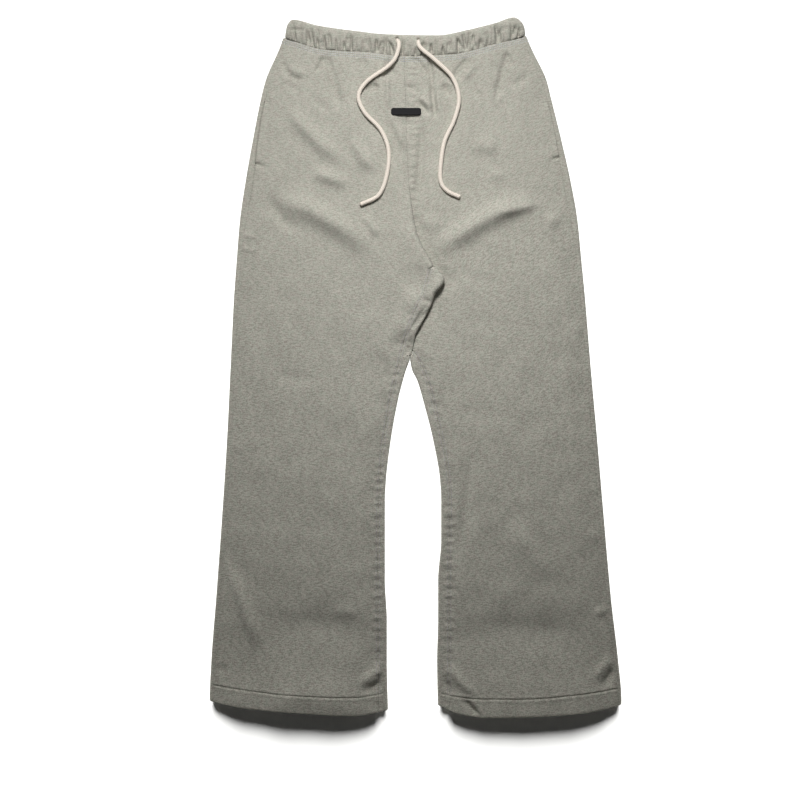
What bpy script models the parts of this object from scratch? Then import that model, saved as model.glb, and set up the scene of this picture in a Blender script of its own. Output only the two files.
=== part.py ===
"""Flared sweatpants of heavy brushed fleece, laid flat on their back with the front up.

+Y runs from the hems to the waist, +X to the right as seen from above, +Z up, and the underside rests on
Z = 0. The origin is under the middle of the garment. The sizes below are millimetres; the meshes are metres.
"""

import math
from collections import namedtuple

import bmesh
import bpy
import numpy as np
from mathutils import Vector

MM = 0.001

# Cloth
WALL = 2.4                # brushed fleece
HEM_WALL = 4.6            # the same fleece turned up inside and stitched down
SEAM_GAP = 0.3            # left open between pieces that are sewn edge to edge
LAID_HEIGHT = 7.4         # front panel above the floor, over the back panel
HEM_EDGE_HEIGHT = 10.4    # the same at the side folds of the hems
HEM_MIDDLE_HEIGHT = 15.6  # the leg mouths stand a little open
LOWEST_FRONT = 5.6        # no crease presses the front panel lower than this
SHARP_ANGLE = 55.0        # edges of the walls stay crisp, in degrees

FLEECE_COLOUR = (0.36, 0.35, 0.30)
RUBBER_COLOUR = (0.012, 0.012, 0.013)
COTTON_COLOUR = (0.72, 0.66, 0.57)

# Levels along the garment
WAIST_Y = 490.0
HEM_STITCH_Y = -504.0
HEM_Y = -530.0
CROTCH_GAP_Y = 11.6       # where the two legs part
OVERLAP_TOP_Y = 154.0     # crotch point: left leg's inner fold lies on the right leg from here down
RIGHT_INSEAM_TOP_Y = 25.0
WAIST_ROWS_REACH = 90.0   # rows of points follow the waist seam this far down, then run level
HEM_ROWS_REACH = 75.0     # and the hem edge this far above its stitch line

# How the laid legs open towards the hems
GAPE_TOP_Y = -415.0
GAPE_SQUARENESS = 2.5     # 2 gives a round gape, and more a flatter top with steeper sides
SIDE_RISE_TOP = 70.0      # side folds rise from here above the hem's stitch line
SIDE_RISE_FOOT = 4.0
HEM_GROOVE = 0.7          # depth that the hem's stitches pull in
HEM_GROOVE_WIDTH = 2.6

# Divisions of the meshes
ROW_TOLERANCE = 0.01
FRONT_COLUMNS = 12
ROLL_STEPS = 4
UNDERSIDE_COLUMNS = 6

Edges = namedtuple("Edges", "y left right")
Across = namedtuple("Across", "x y")
Seam = namedtuple("Seam", "y x")
Inset = namedtuple("Inset", "y inset")
RowBand = namedtuple("RowBand", "to_y rows")
Fold = namedtuple("Fold", "x0 y0 x1 y1 bow width rise")
Casing = namedtuple("Casing", "up front back gather")
Wave = namedtuple("Wave", "times size start")
Route = namedtuple("Route", "x y")

# Outer edges of the laid garment, seen from above.
OUTER_EDGES = (
    Edges(509, -202, 170),
    Edges(488, -210, 179),
    Edges(442, -230, 201),
    Edges(411, -238, 209),
    Edges(350, -250, 224),
    Edges(288, -261, 238),
    Edges(226, -270, 249),
    Edges(165, -275, 255),
    Edges(103, -279.5, 261),
    Edges(11, -284, 268.5),
    Edges(-112, -290, 279.5),
    Edges(-236, -298, 290),
    Edges(-359, -307, 301),
    Edges(-450, -314, 311.5),
    Edges(-513, -316.5, 316.5),
    Edges(-536, -315, 315),
)

# Inner edges of the two legs, from where they part.
INNER_EDGES = (
    Edges(11.6, -8.5, -8.5),
    Edges(-4.6, -14.6, -5.4),
    Edges(-20, -19.2, 2.3),
    Edges(-51, -27, 11.6),
    Edges(-112, -38, 27),
    Edges(-174, -45.4, 37.7),
    Edges(-205, -47, 39.3),
    Edges(-266, -47, 39.3),
    Edges(-328, -47, 34.6),
    Edges(-390, -44, 34.6),
    Edges(-451, -44, 33),
    Edges(-536, -42, 34.6),
)

# How far the side seams lie in from the outer edges: they roll to the top side at the pockets.
SIDE_SEAM_INSETS = (
    Inset(509, 7),
    Inset(400, 7),
    Inset(350, 8),
    Inset(312, 10.5),
    Inset(270, 12),
    Inset(200, 9),
    Inset(120, 7),
    Inset(-536, 7),
)

# Centre front seam down to the crotch point.
CENTRE_SEAM = (
    Seam(509, -18),
    Seam(477, -17.7),
    Seam(396, -14.6),
    Seam(334, -13),
    Seam(288, -10.8),
    Seam(260, -7.5),
    Seam(239, -4.3),
    Seam(206, 2.3),
    Seam(185, 10.9),
    Seam(167, 21.7),
    Seam(154, 28.2),
)
LEFT_INSEAM = (
    Seam(154, 23.5),
    Seam(113, 12),
    Seam(93, 2.3),
    Seam(49, -14.8),
    Seam(6, -25.7),
    Seam(-41, -37),
    Seam(-92, -46),
    Seam(-140, -52.5),
    Seam(-222, -57.5),
    Seam(-345, -58),
    Seam(-536, -57),
)
RIGHT_INSEAM = (
    Seam(25, -3.2),
    Seam(11.6, 4.6),
    Seam(-7.7, 13.7),
    Seam(-41, 24),
    Seam(-88, 35.5),
    Seam(-128, 44.4),
    Seam(-163, 50),
    Seam(-199, 52.7),
    Seam(-297, 51.6),
    Seam(-536, 51.6),
)
# Folded inner edge of the left leg, where it lies on the right leg.
OVERLAP_EDGE = (
    Seam(154, 29),
    Seam(148, 35),
    Seam(134.5, 44.4),
    Seam(128, 43),
    Seam(111, 30),
    Seam(98, 25.5),
    Seam(85, 19.6),
    Seam(61, 6.6),
    Seam(48, 0.2),
    Seam(29, -4.3),
    Seam(11.6, -8.5),
)
UNDER_OVERLAP_TUCK = 7.0  # the right front panel reaches this far under that edge
TUCK_START_Y = 74.0
TUCK_FULL_Y = 96.0

# Centre of the back, where the two back panels meet on the floor.
BACK_SEAM = (Seam(CROTCH_GAP_Y, -8.5), Seam(WAIST_Y, -16))
BACK_SEAM_CLOSED_Y = 40.0

# Waist seam, the fold along the top of the casing, and the turned hem edges, seen from above.
WAIST_SEAM = (
    Across(-202, 505.5),
    Across(-140, 488),
    Across(-75, 483.5),
    Across(-10, 477.5),
    Across(55, 480.5),
    Across(115, 494),
    Across(171, 509),
)
CASING_TOP = (
    Across(-200, 525),
    Across(-188, 532.5),
    Across(-150, 523.5),
    Across(-98, 516),
    Across(-40, 510),
    Across(32, 508.5),
    Across(87, 518.5),
    Across(124, 528),
    Across(151, 536),
    Across(168, 525),
)
HEM_EDGE = (
    Across(-316, -513),
    Across(-250, -523),
    Across(-190, -528),
    Across(-95, -533),
    Across(-42, -527),
    Across(34, -520),
    Across(60, -529),
    Across(105, -536),
    Across(180, -534.5),
    Across(250, -530),
    Across(316, -519),
)

# Rows of points across the panels, from the waist seam down.
ROW_BANDS = (
    RowBand(300, 12),
    RowBand(OVERLAP_TOP_Y, 10),
    RowBand(134.5, 2),
    RowBand(111, 2),
    RowBand(29, 6),
    RowBand(20, 1),
    RowBand(CROTCH_GAP_Y, 1),
    RowBand(-380, 7),
    RowBand(-499.5, 5),
    RowBand(HEM_STITCH_Y, 1),
    RowBand(-508.5, 1),
    RowBand(HEM_Y, 1),
)

# Main creases of the front: from one end to the other, bowed to the left of that direction, with the width
# to where they have nearly died out and the rise of their middle. A negative rise is a trough.
FOLDS = (
    Fold(-228, 266, -60, 192, 4, 15, 2.0),
    Fold(204, 254, 42, 194, 8, 16, 2.6),
    Fold(-232, 236, -80, 172, 0, 16, -1.0),
    Fold(206, 222, 60, 166, 0, 16, -1.1),
    Fold(-187, 412, -104, 326, -4, 12, 1.2),
    Fold(-212, 386, -134, 306, -4, 12, -1.0),
    Fold(-180, 296, -112, 282, 3, 10, 0.9),
    Fold(88, 344, 122, 334, 4, 12, 0.9),
    Fold(-134, 482, -117, 400, 3, 9, -1.2),
    Fold(138, 490, 125, 408, -4, 9, -1.2),
    Fold(-203, 470, -174, 440, 4, 10, -1.1),
    Fold(78, 468, 60, 446, 0, 8, -0.9),
    Fold(8, 384, 7, 296, 0, 9, -0.9),
    Fold(-228, -14, -148, -24, 2, 15, -0.7),
    Fold(-54, 20, -40, -30, 0, 12, -1.2),
    Fold(-290, -300, -252, -412, 4, 12, 1.7),
    Fold(84, -150, 62, -290, 4, 13, -1.0),
    Fold(172, -250, 208, -320, 0, 12, -0.7),
    Fold(78, -408, 266, -408, 6, 18, -1.3),
    Fold(-235, -425, -75, -425, 6, 18, -0.8),
    Fold(310, -458, 284, -490, 0, 11, -1.6),
    Fold(-40, -452, -84, -488, 0, 11, -1.8),
    Fold(38, -458, 78, -492, 0, 11, 1.2),
)
FOLD_MARGIN = 2.0         # creases are gone this near to a side fold
FOLD_FADE = 16.0          # and begin to die out here
FOLD_RUN_OUT = 0.1        # part of its length that a crease runs on past its ends
FOLD_FULL = 0.35          # part of its length where it reaches its full rise
FOLD_SHARPNESS = 1.4

# The left leg's inner part, raised where it lies on the right leg.
LIFT = 4.8
LIFT_REACH = 30.0
LIFT_ENDS = (300.0, 165.0, 92.0, 0.0)
OVERLAP_WALL = 3.6        # the folded edge is two layers pressed together
OVERLAP_BLEND_Y = 5.0     # the folded edge starts this far below the crotch point

# The right leg's front sinks under and beside it.
PRESS_DEPTH = 0.9
PRESS_REACH = 22.0
PRESS_ENDS = (300.0, 200.0, 60.0, 0.0)

# Casing with elastic and drawcord inside: profile over its height, as parts of the depths below.
CASING_SPLIT = 5.0        # height of the closed waist mouth between front and back
CASING_FRONT = 8.8
CASING_BACK = 4.7
CASING_MOUTH = 0.3        # from the middle of the closed mouth to either side
CASING_ROLL = 7.0
CASING_LIP = 0.05         # the mouth's edges turn in this part of the height below the top fold
CASING_ENDS = (Edges(0, -202.2, 170.2), Edges(1, -197.5, 166.5))
CASING_PROFILE = (
    Casing(0.0, 0.42, 1.0, 0.5),
    Casing(0.12, 0.8, 1.0, 1.0),
    Casing(0.42, 1.0, 1.0, 0.8),
    Casing(0.76, 0.96, 1.0, 0.45),
    Casing(0.95, 0.72, 0.85, 0.3),
    Casing(1.0, 0.36, 0.4, 0.0),
)
UNDERSIDE_SEAM_GAP = 0.6  # more room at the flat underside, whose points are far apart
CASING_BACK_STEPS = 22
GATHERS = 38
GATHER_HEIGHT = 1.0
GATHER_FADE = 0.04        # part of the width where the gathers die out at either end
GATHER_SHIFT = 2.2        # unevenness: each wave below shifts the gathers along the band
STEPS_A_GATHER = 4
GATHER_WAVES = (
    Wave(3.3, 0.35, 0.7),
    Wave(7.1, 0.25, 0.0),
)

# Pocket mouths in the side seams: turned edge of the front panel.
POCKET_TOP_Y = 412.0
POCKET_FOOT_Y = 310.0
POCKET_EDGE_WALL = 1.2

# Bare rubber bar below the waist, over the centre seam.
LABEL_LENGTH = 46.0
LABEL_WIDTH = 11.5
LABEL_THICKNESS = 1.4
LABEL_CORNER = 4.0
LABEL_PLACE = Route(-14.6, 392.2)

# Drawcord ends, from the eyelets in the casing.
CORD_DIAMETER = 7.0
CORD_CLEARANCE = 0.45
CORD_START_DEPTH = 2.4    # cord's middle under the casing's face, inside the eyelet
CORD_RISE_LENGTH = 14.0
CORD_STEP = 15.0          # between the tube's points where it lies on the cloth
CORD_FINE_STEPS = 3       # points are this many times closer where it rises out of its eyelet
CORD_FINE_LENGTH = 21.0
CORD_SPREAD = 4.0         # cloth within this reach to either side carries the cord
CORD_SMOOTHING = 6
CORD_BEVEL = 3
EYELET_CLEARANCE = 0.35
EYELET_POINTS = 5
MERGE_DISTANCE = 0.00001  # metres
LEFT_ROUTE = (
    Route(-28.5, 502.5),
    Route(-25.5, 492),
    Route(-31, 473),
    Route(-44, 459),
    Route(-75, 437),
    Route(-87.5, 415),
    Route(-78, 390),
    Route(-53.5, 363.5),
    Route(-41.5, 332),
    Route(-44, 295),
    Route(-56.5, 263.5),
    Route(-85, 248.5),
)
RIGHT_ROUTE = (
    Route(3.9, 500.5),
    Route(7.5, 488.5),
    Route(31, 468.5),
    Route(56.5, 443),
    Route(66.5, 411.5),
    Route(59.5, 379),
    Route(44, 344),
    Route(38, 302.5),
    Route(39.5, 282),
    Route(49, 269.5),
    Route(68.5, 260),
)


def clear_scene():
    for obj in list(bpy.data.objects):
        bpy.data.objects.remove(obj, do_unlink=True)


def matt_material(name, colour, roughness):
    material = bpy.data.materials.new(name)
    material.use_nodes = True
    shader = material.node_tree.nodes["Principled BSDF"]
    shader.inputs["Base Color"].default_value = (*colour, 1.0)
    shader.inputs["Roughness"].default_value = roughness
    shader.inputs["Metallic"].default_value = 0.0
    return material


def smooth_through(rows, at, value):
    """A smooth curve through the rows that doesn't swing past them, by one column over another."""
    points = sorted((getattr(row, at), getattr(row, value)) for row in rows)
    place, height = (np.array(side, float) for side in zip(*points))
    step = np.diff(place)
    slope = np.diff(height) / step
    tangent = np.zeros(len(place))
    tangent[0] = slope[0]
    tangent[-1] = slope[-1]
    for i in range(1, len(place) - 1):
        if slope[i - 1] * slope[i] > 0:
            tangent[i] = 2 * slope[i - 1] * slope[i] / (slope[i - 1] + slope[i])

    def read(where):
        where = min(max(where, place[0]), place[-1])
        i = min(int(np.searchsorted(place, where, side="right")) - 1, len(step) - 1)
        t = (where - place[i]) / step[i]
        ends = (1 + 2 * t) * (1 - t) ** 2 * height[i] + t * t * (3 - 2 * t) * height[i + 1]
        lean = t * (1 - t) ** 2 * tangent[i] - t * t * (1 - t) * tangent[i + 1]
        return float(ends + lean * step[i])

    return read


def ease(start, end, value):
    """0 before start and 1 after end, with a smooth rise between; start may be the higher one."""
    t = min(max((value - start) / (end - start), 0.0), 1.0)
    return t * t * (3 - 2 * t)


def mix(a, b, t):
    return a + (b - a) * t


outer_left = smooth_through(OUTER_EDGES, "y", "left")
outer_right = smooth_through(OUTER_EDGES, "y", "right")
inner_left = smooth_through(INNER_EDGES, "y", "left")
inner_right = smooth_through(INNER_EDGES, "y", "right")
seam_inset = smooth_through(SIDE_SEAM_INSETS, "y", "inset")
centre_seam = smooth_through(CENTRE_SEAM, "y", "x")
left_inseam = smooth_through(LEFT_INSEAM, "y", "x")
right_inseam = smooth_through(RIGHT_INSEAM, "y", "x")
overlap_edge = smooth_through(OVERLAP_EDGE, "y", "x")
back_seam = smooth_through(BACK_SEAM, "y", "x")
waist_seam = smooth_through(WAIST_SEAM, "x", "y")
casing_top = smooth_through(CASING_TOP, "x", "y")
hem_edge = smooth_through(HEM_EDGE, "x", "y")
casing_left = smooth_through(CASING_ENDS, "y", "left")
casing_right = smooth_through(CASING_ENDS, "y", "right")


def row_levels():
    levels = [WAIST_Y]
    for band in ROW_BANDS:
        start = levels[-1]
        levels += [mix(start, band.to_y, (i + 1) / band.rows) for i in range(band.rows)]
    return levels


ROWS = row_levels()


def row_y(level, x):
    """Rows follow the waist seam at the top and the hem edge at the bottom, and run level between."""
    near_waist = ease(WAIST_Y - WAIST_ROWS_REACH, WAIST_Y, level)
    near_hem = ease(HEM_STITCH_Y + HEM_ROWS_REACH, HEM_STITCH_Y, level)
    at_waist = near_waist * (waist_seam(x) - SEAM_GAP / 2 - WAIST_Y)
    at_hem = near_hem * (hem_edge(x) - HEM_Y)
    return level + at_waist + at_hem


def row_x(level, edge):
    """Where a row meets an edge given as x over y."""
    x = edge(level)
    for _ in range(3):
        x = edge(row_y(level, x))
    return x


def fold_height(fold, x, y):
    """Soft ridge or trough along a bowed line."""
    dx = fold.x1 - fold.x0
    dy = fold.y1 - fold.y0
    length = math.hypot(dx, dy)
    t = ((x - fold.x0) * dx + (y - fold.y0) * dy) / length**2
    if not -FOLD_RUN_OUT < t < 1 + FOLD_RUN_OUT:
        return 0.0
    aside = ((y - fold.y0) * dx - (x - fold.x0) * dy) / length - fold.bow * 4 * t * (1 - t)
    along = ease(-FOLD_RUN_OUT, FOLD_FULL, t) * ease(1 + FOLD_RUN_OUT, 1 - FOLD_FULL, t)
    return fold.rise * along * math.exp(-((FOLD_SHARPNESS * aside / fold.width) ** 2))


def leg_edges(x, y):
    """Inner and outer edge of the leg, or of the garment's half above the crotch, that holds x."""
    on_left = x < (centre_seam(y) if y > CROTCH_GAP_Y else 0.5 * (inner_left(y) + inner_right(y)))
    if on_left:
        return inner_left(y), outer_left(y)
    return inner_right(y), outer_right(y)


def edge_height(y):
    """Height of a leg's side folds."""
    rise = ease(HEM_STITCH_Y + SIDE_RISE_TOP, HEM_STITCH_Y + SIDE_RISE_FOOT, y)
    return mix(LAID_HEIGHT, HEM_EDGE_HEIGHT, rise)


def hem_groove(x, y):
    """Line along the hem where its stitches pull the cloth in."""
    from_stitches = y - (HEM_STITCH_Y + hem_edge(x) - HEM_Y)
    return HEM_GROOVE * math.exp(-((from_stitches / HEM_GROOVE_WIDTH) ** 2))


def panel_height(x, y):
    """Height of the front's face above the floor, before the overlap at the crotch."""
    inner, outer = leg_edges(x, y)
    across = min(max((x - inner) / (outer - inner), 0.0), 1.0)
    gape = (HEM_MIDDLE_HEIGHT - HEM_EDGE_HEIGHT) * ease(GAPE_TOP_Y, HEM_STITCH_Y, y)
    gape *= 1 - abs(2 * across - 1) ** GAPE_SQUARENESS
    from_outer = min(x - outer_left(y), outer_right(y) - x)
    near_fold = from_outer if y > CROTCH_GAP_Y else min(from_outer, abs(x - inner))
    creases = sum(fold_height(fold, x, y) for fold in FOLDS) * ease(FOLD_MARGIN, FOLD_FADE, near_fold)
    return max(edge_height(y) + gape + creases - hem_groove(x, y), LOWEST_FRONT)


def overlap_lift(x, y):
    """Rise of the left leg's inner part, which lies on the right leg."""
    top, full, lower, end = LIFT_ENDS
    along = ease(top, full, y) if y > full else ease(end, lower, y)
    edge = centre_seam(y) if y > OVERLAP_TOP_Y else overlap_edge(y)
    return LIFT * along * math.exp(-((max(edge - x, 0.0) / LIFT_REACH) ** 2))


def left_height(x, y):
    return panel_height(x, y) + overlap_lift(x, y)


def cloth_wall(level):
    return HEM_WALL if level < HEM_STITCH_Y - 1 else WALL


def add_object(name, mesh, material, collection):
    mesh.materials.append(material)
    obj = bpy.data.objects.new(name, mesh)
    collection.objects.link(obj)
    return obj


def add_body(name, points, faces, material, collection):
    """A closed body from points in millimetres, its faces turned outwards."""
    mesh = bpy.data.meshes.new(name)
    mesh.from_pydata([Vector(point) * MM for point in points], [], faces)
    body = bmesh.new()
    body.from_mesh(mesh)
    bmesh.ops.recalc_face_normals(body, faces=body.faces)
    body.to_mesh(mesh)
    body.free()
    mesh.shade_smooth()
    mesh.set_sharp_from_angle(angle=math.radians(SHARP_ANGLE))
    return add_object(name, mesh, material, collection)


def wall_between(name, outer, inner, material, collection):
    """A wall from two grids of points, the outer face and the inner one.

    A point left as None leaves out the faces round it.
    """
    numbers = {}
    points = []
    for side, grid in enumerate((outer, inner)):
        for r, row in enumerate(grid):
            for c, point in enumerate(row):
                if point is not None:
                    numbers[side, r, c] = len(points)
                    points.append(point)
    quads = []
    for r in range(len(outer) - 1):
        for c in range(len(outer[0]) - 1):
            corners = ((r, c), (r + 1, c), (r + 1, c + 1), (r, c + 1))
            if all((0, *corner) in numbers for corner in corners):
                quads.append(corners)
    edges = {(quad[i], quad[(i + 1) % 4]) for quad in quads for i in range(4)}
    faces = []
    for quad in quads:
        faces.append([numbers[0, r, c] for r, c in quad])
        faces.append([numbers[1, r, c] for r, c in reversed(quad)])
    for start, end in edges:
        if (end, start) not in edges:
            rim = ((0, *end), (0, *start), (1, *start), (1, *end))
            faces.append([numbers[corner] for corner in rim])
    return add_body(name, points, faces, material, collection)


def front_grids(inner_edge, side_edge, side, height):
    """Outer and inner points of a front panel, from its inner seam to its side seam."""
    outer = []
    inner = []
    for level in ROWS:
        start = row_x(level, inner_edge) + side * SEAM_GAP / 2
        end = row_x(level, lambda y: side_edge(y) - side * seam_inset(y)) - side * SEAM_GAP / 2
        faces = []
        backs = []
        for i in range(FRONT_COLUMNS + 1):
            x = mix(start, end, i / FRONT_COLUMNS)
            y = row_y(level, x)
            z = height(x, y)
            faces.append((x, y, z))
            backs.append((x, y, z - cloth_wall(level)))
        outer.append(faces)
        inner.append(backs)
    return outer, inner


def left_front_edge(y):
    return centre_seam(y) if y > OVERLAP_TOP_Y - 1 else left_inseam(y)


def right_front_edge(y):
    """Centre seam, then a line tucked under the left leg, then the right inseam."""
    if y > OVERLAP_TOP_Y - 1:
        return centre_seam(y)
    if y > RIGHT_INSEAM_TOP_Y:
        return overlap_edge(y) + SEAM_GAP - UNDER_OVERLAP_TUCK * ease(TUCK_START_Y, TUCK_FULL_Y, y)
    return right_inseam(y)


def right_height(x, y):
    """The right front sinks where the left leg presses on it and along its raised centre seam."""
    top, full, lower, end = PRESS_ENDS
    edge = centre_seam(y) if y > OVERLAP_TOP_Y else overlap_edge(y)
    press = ease(end, lower, y) * ease(top, full, y) * math.exp(-(((x - edge) / PRESS_REACH) ** 2))
    return max(panel_height(x, y) - PRESS_DEPTH * press, LOWEST_FRONT)


def roll_points(edge_x, side, height, wall, y_of, falling):
    """Half a turn round a side fold, from the top side to the underside or back up."""
    radius = height / 2
    middle = edge_x - side * radius
    outer = []
    inner = []
    for i in range(ROLL_STEPS + 1):
        angle = math.pi * i / ROLL_STEPS
        for reach, points in ((radius, outer), (radius - wall, inner)):
            x = middle + side * reach * math.sin(angle)
            points.append((x, y_of(x), radius + reach * math.cos(angle)))
    if not falling:
        outer.reverse()
        inner.reverse()
    return outer, inner


def back_grids(side, outer_edge, inner_edge, inseam, height, overlap_top, overlap_start):
    """Outer and inner points of a back panel, from its side seam round the leg to its inseam.

    Above the gap between the legs it ends at the back seam. From there up to overlap_top it also has the
    strip on the top side between overlap_start and the inseam.
    """
    outer = []
    inner = []
    for level in ROWS:
        wall = cloth_wall(level)
        parted = level <= CROTCH_GAP_Y + ROW_TOLERANCE

        def y_of(x):
            return row_y(level, x)

        def top_points(x, thickness):
            z = height(x, y_of(x))
            return [(x, y_of(x), z)], [(x, y_of(x), z - thickness)]

        seam = row_x(level, lambda y: outer_edge(y) - side * seam_inset(y)) + side * SEAM_GAP / 2
        edge = row_x(level, outer_edge)
        face, back = top_points(seam, wall)
        turn, turn_in = roll_points(edge, side, edge_height(y_of(edge)), wall, y_of, True)
        if parted:
            edge = row_x(level, inner_edge)
            far_turn, far_in = roll_points(edge, -side, edge_height(y_of(edge)), wall, y_of, False)
            seam = row_x(level, inseam) - side * SEAM_GAP / 2
            far_face, far_back = top_points(seam, wall)
            far_turn += far_face
            far_in += far_back
        else:
            gap = mix(LAID_HEIGHT / 2, SEAM_GAP / 2, ease(CROTCH_GAP_Y, BACK_SEAM_CLOSED_Y, level))
            end = back_seam(level) + side * gap
            strip = ([None], [None], [None], [None])
            if CROTCH_GAP_Y <= level <= overlap_top:
                strip = top_points(overlap_start(level), OVERLAP_WALL)
                strip += top_points(inseam(level) - side * SEAM_GAP / 2, OVERLAP_WALL)
            skipped = [None] * (ROLL_STEPS - 1)
            far_turn = [(end, y_of(end), 0.0)] + skipped + strip[0] + strip[2]
            far_in = [(end, y_of(end), wall)] + skipped + strip[1] + strip[3]
        parts = [i / UNDERSIDE_COLUMNS for i in range(1, UNDERSIDE_COLUMNS)]
        floor_xs = [mix(turn[-1][0], far_turn[0][0], part) for part in parts]
        outer.append(face + turn + [(x, y_of(x), 0.0) for x in floor_xs] + far_turn)
        inner.append(back + turn_in + [(x, y_of(x), wall) for x in floor_xs] + far_in)
    return outer, inner


def casing_gather(t):
    """Uneven gathers along the front of the casing, from -1 to 1, dying out at its ends."""
    swing = sum(wave.size * math.sin(math.tau * wave.times * t + wave.start) for wave in GATHER_WAVES)
    ends = ease(0, GATHER_FADE, t) * ease(1, 1 - GATHER_FADE, t)
    return math.sin(math.tau * GATHERS * t + GATHER_SHIFT * swing) * ends


def casing_column(turn, t):
    """Points round the casing's section at one place of its loop.

    turn is 0 on the front, half a turn on the back, and between them at the two rolled ends; t runs from
    left to right.
    """
    to_back = 0.5 - 0.5 * math.cos(turn)
    gather = casing_gather(t) * (1 - to_back)
    points = []
    for part in CASING_PROFILE:
        depth = mix(CASING_FRONT * part.front, CASING_BACK * part.back, to_back)
        depth += GATHER_HEIGHT * part.gather * gather
        side_depth = (CASING_ROLL - CASING_MOUTH) * mix(part.front, part.back, 0.5)
        depth = mix(depth, side_depth, math.sin(turn) ** 2)
        points.append((part.up, CASING_MOUTH + depth))
    points.append((1.0 - CASING_LIP, CASING_MOUTH))
    points.append((0.0, CASING_MOUTH))
    return [casing_point(turn, t, up, reach) for up, reach in points]


def casing_point(turn, t, up, reach):
    start = casing_left(up) + CASING_ROLL
    end = casing_right(up) - CASING_ROLL
    x = mix(start, end, t) + reach * math.sin(turn)
    seam = waist_seam(x) + SEAM_GAP / 2 + UNDERSIDE_SEAM_GAP * (0.5 - 0.5 * math.cos(turn))
    y = mix(seam, casing_top(x), up)
    z = max(CASING_SPLIT + reach * math.cos(turn), 0.0)
    return x, y, z


def make_waistband(material, collection):
    """One gathered tube with a closed, flattened mouth, swept round its loop."""
    front_steps = GATHERS * STEPS_A_GATHER
    places = [(0.0, i / front_steps) for i in range(front_steps)]
    places += [(math.pi * i / ROLL_STEPS / 2, 1.0) for i in range(2 * ROLL_STEPS)]
    places += [(math.pi, 1 - i / CASING_BACK_STEPS) for i in range(CASING_BACK_STEPS)]
    places += [(math.pi * (1 + i / ROLL_STEPS / 2), 0.0) for i in range(2 * ROLL_STEPS)]
    columns = [casing_column(turn, t) for turn, t in places]
    count = len(columns)
    around = len(columns[0])
    points = [point for column in columns for point in column]
    faces = []
    for c in range(count):
        beside = (c + 1) % count
        for i in range(around):
            up = (i + 1) % around
            faces.append([c * around + i, beside * around + i, beside * around + up, c * around + up])
    return add_body("waistband", points, faces, material, collection)


def casing_face(x, y):
    """Height of the casing's front face."""
    start = casing_left(0.5) + CASING_ROLL
    end = casing_right(0.5) - CASING_ROLL
    t = min(max((x - start) / (end - start), 0.0), 1.0)
    up = (y - waist_seam(x)) / (casing_top(x) - waist_seam(x))
    profile = smooth_through(CASING_PROFILE, "up", "front")
    return CASING_SPLIT + CASING_MOUTH + CASING_FRONT * profile(up) + GATHER_HEIGHT * abs(casing_gather(t))


def laid_height(x, y):
    """Height of whatever face is uppermost at this place."""
    if y > waist_seam(x):
        return casing_face(x, y)
    if x < (centre_seam(y) if y > OVERLAP_TOP_Y else overlap_edge(y)):
        return left_height(x, y)
    return right_height(x, y)


def cord_support(x, y):
    """Highest cloth under the cord's width."""
    reach = [i * CORD_SPREAD / 2 for i in range(-2, 3)]
    return max(laid_height(x + dx, y + dy) for dx in reach for dy in reach)


def smooth_route(route, step):
    """Evenly spaced places along a Catmull-Rom curve through a route."""
    ends = (
        Route(2 * route[0].x - route[1].x, 2 * route[0].y - route[1].y),
        Route(2 * route[-1].x - route[-2].x, 2 * route[-1].y - route[-2].y),
    )
    points = np.array((ends[0], *route, ends[1]), float)
    fine = []
    for p0, p1, p2, p3 in zip(points, points[1:], points[2:], points[3:]):
        for t in np.linspace(0, 1, 20, endpoint=False):
            bend = 2 * p0 - 5 * p1 + 4 * p2 - p3
            twist = 3 * (p1 - p2) + p3 - p0
            fine.append(0.5 * (2 * p1 + (p2 - p0) * t + bend * t**2 + twist * t**3))
    fine = np.array([*fine, points[-2]])
    run = np.concatenate([[0], np.cumsum(np.linalg.norm(np.diff(fine, axis=0), axis=1))])
    places = np.linspace(0, run[-1], round(run[-1] / step) + 1)
    return places, np.interp(places, run, fine[:, 0]), np.interp(places, run, fine[:, 1])


def cord_points(route):
    """Points of a drawcord end that rises out of its eyelet and then lies on the cloth."""
    run, xs, ys = smooth_route(route, CORD_STEP / CORD_FINE_STEPS)
    lying = CORD_DIAMETER / 2 + CORD_CLEARANCE
    heights = np.array([cord_support(x, y) for x, y in zip(xs, ys)])
    eased = heights.copy()
    for _ in range(CORD_SMOOTHING):
        eased[1:-1] = np.maximum(heights[1:-1], (eased[:-2] + eased[1:-1] + eased[2:]) / 3)
    points = []
    for s, x, y, z in zip(run, xs, ys, eased):
        rise = mix(-CORD_START_DEPTH, lying, ease(0, CORD_RISE_LENGTH, s))
        points.append((x, y, z + rise))
    keep = [i for i in range(len(points)) if i % CORD_FINE_STEPS == 0 or run[i] < CORD_FINE_LENGTH]
    if keep[-1] != len(points) - 1:
        keep.append(len(points) - 1)
    return [points[i] for i in keep]


def make_tube(name, points, diameter, material, collection):
    curve = bpy.data.curves.new(name, "CURVE")
    curve.dimensions = "3D"
    curve.bevel_depth = diameter / 2 * MM
    curve.bevel_resolution = CORD_BEVEL
    curve.use_fill_caps = True
    spline = curve.splines.new("POLY")
    spline.points.add(len(points) - 1)
    for knot, point in zip(spline.points, points):
        knot.co = (*(Vector(point) * MM), 1.0)
    curve.materials.append(material)
    obj = bpy.data.objects.new(name, curve)
    collection.objects.link(obj)
    return obj


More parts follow.
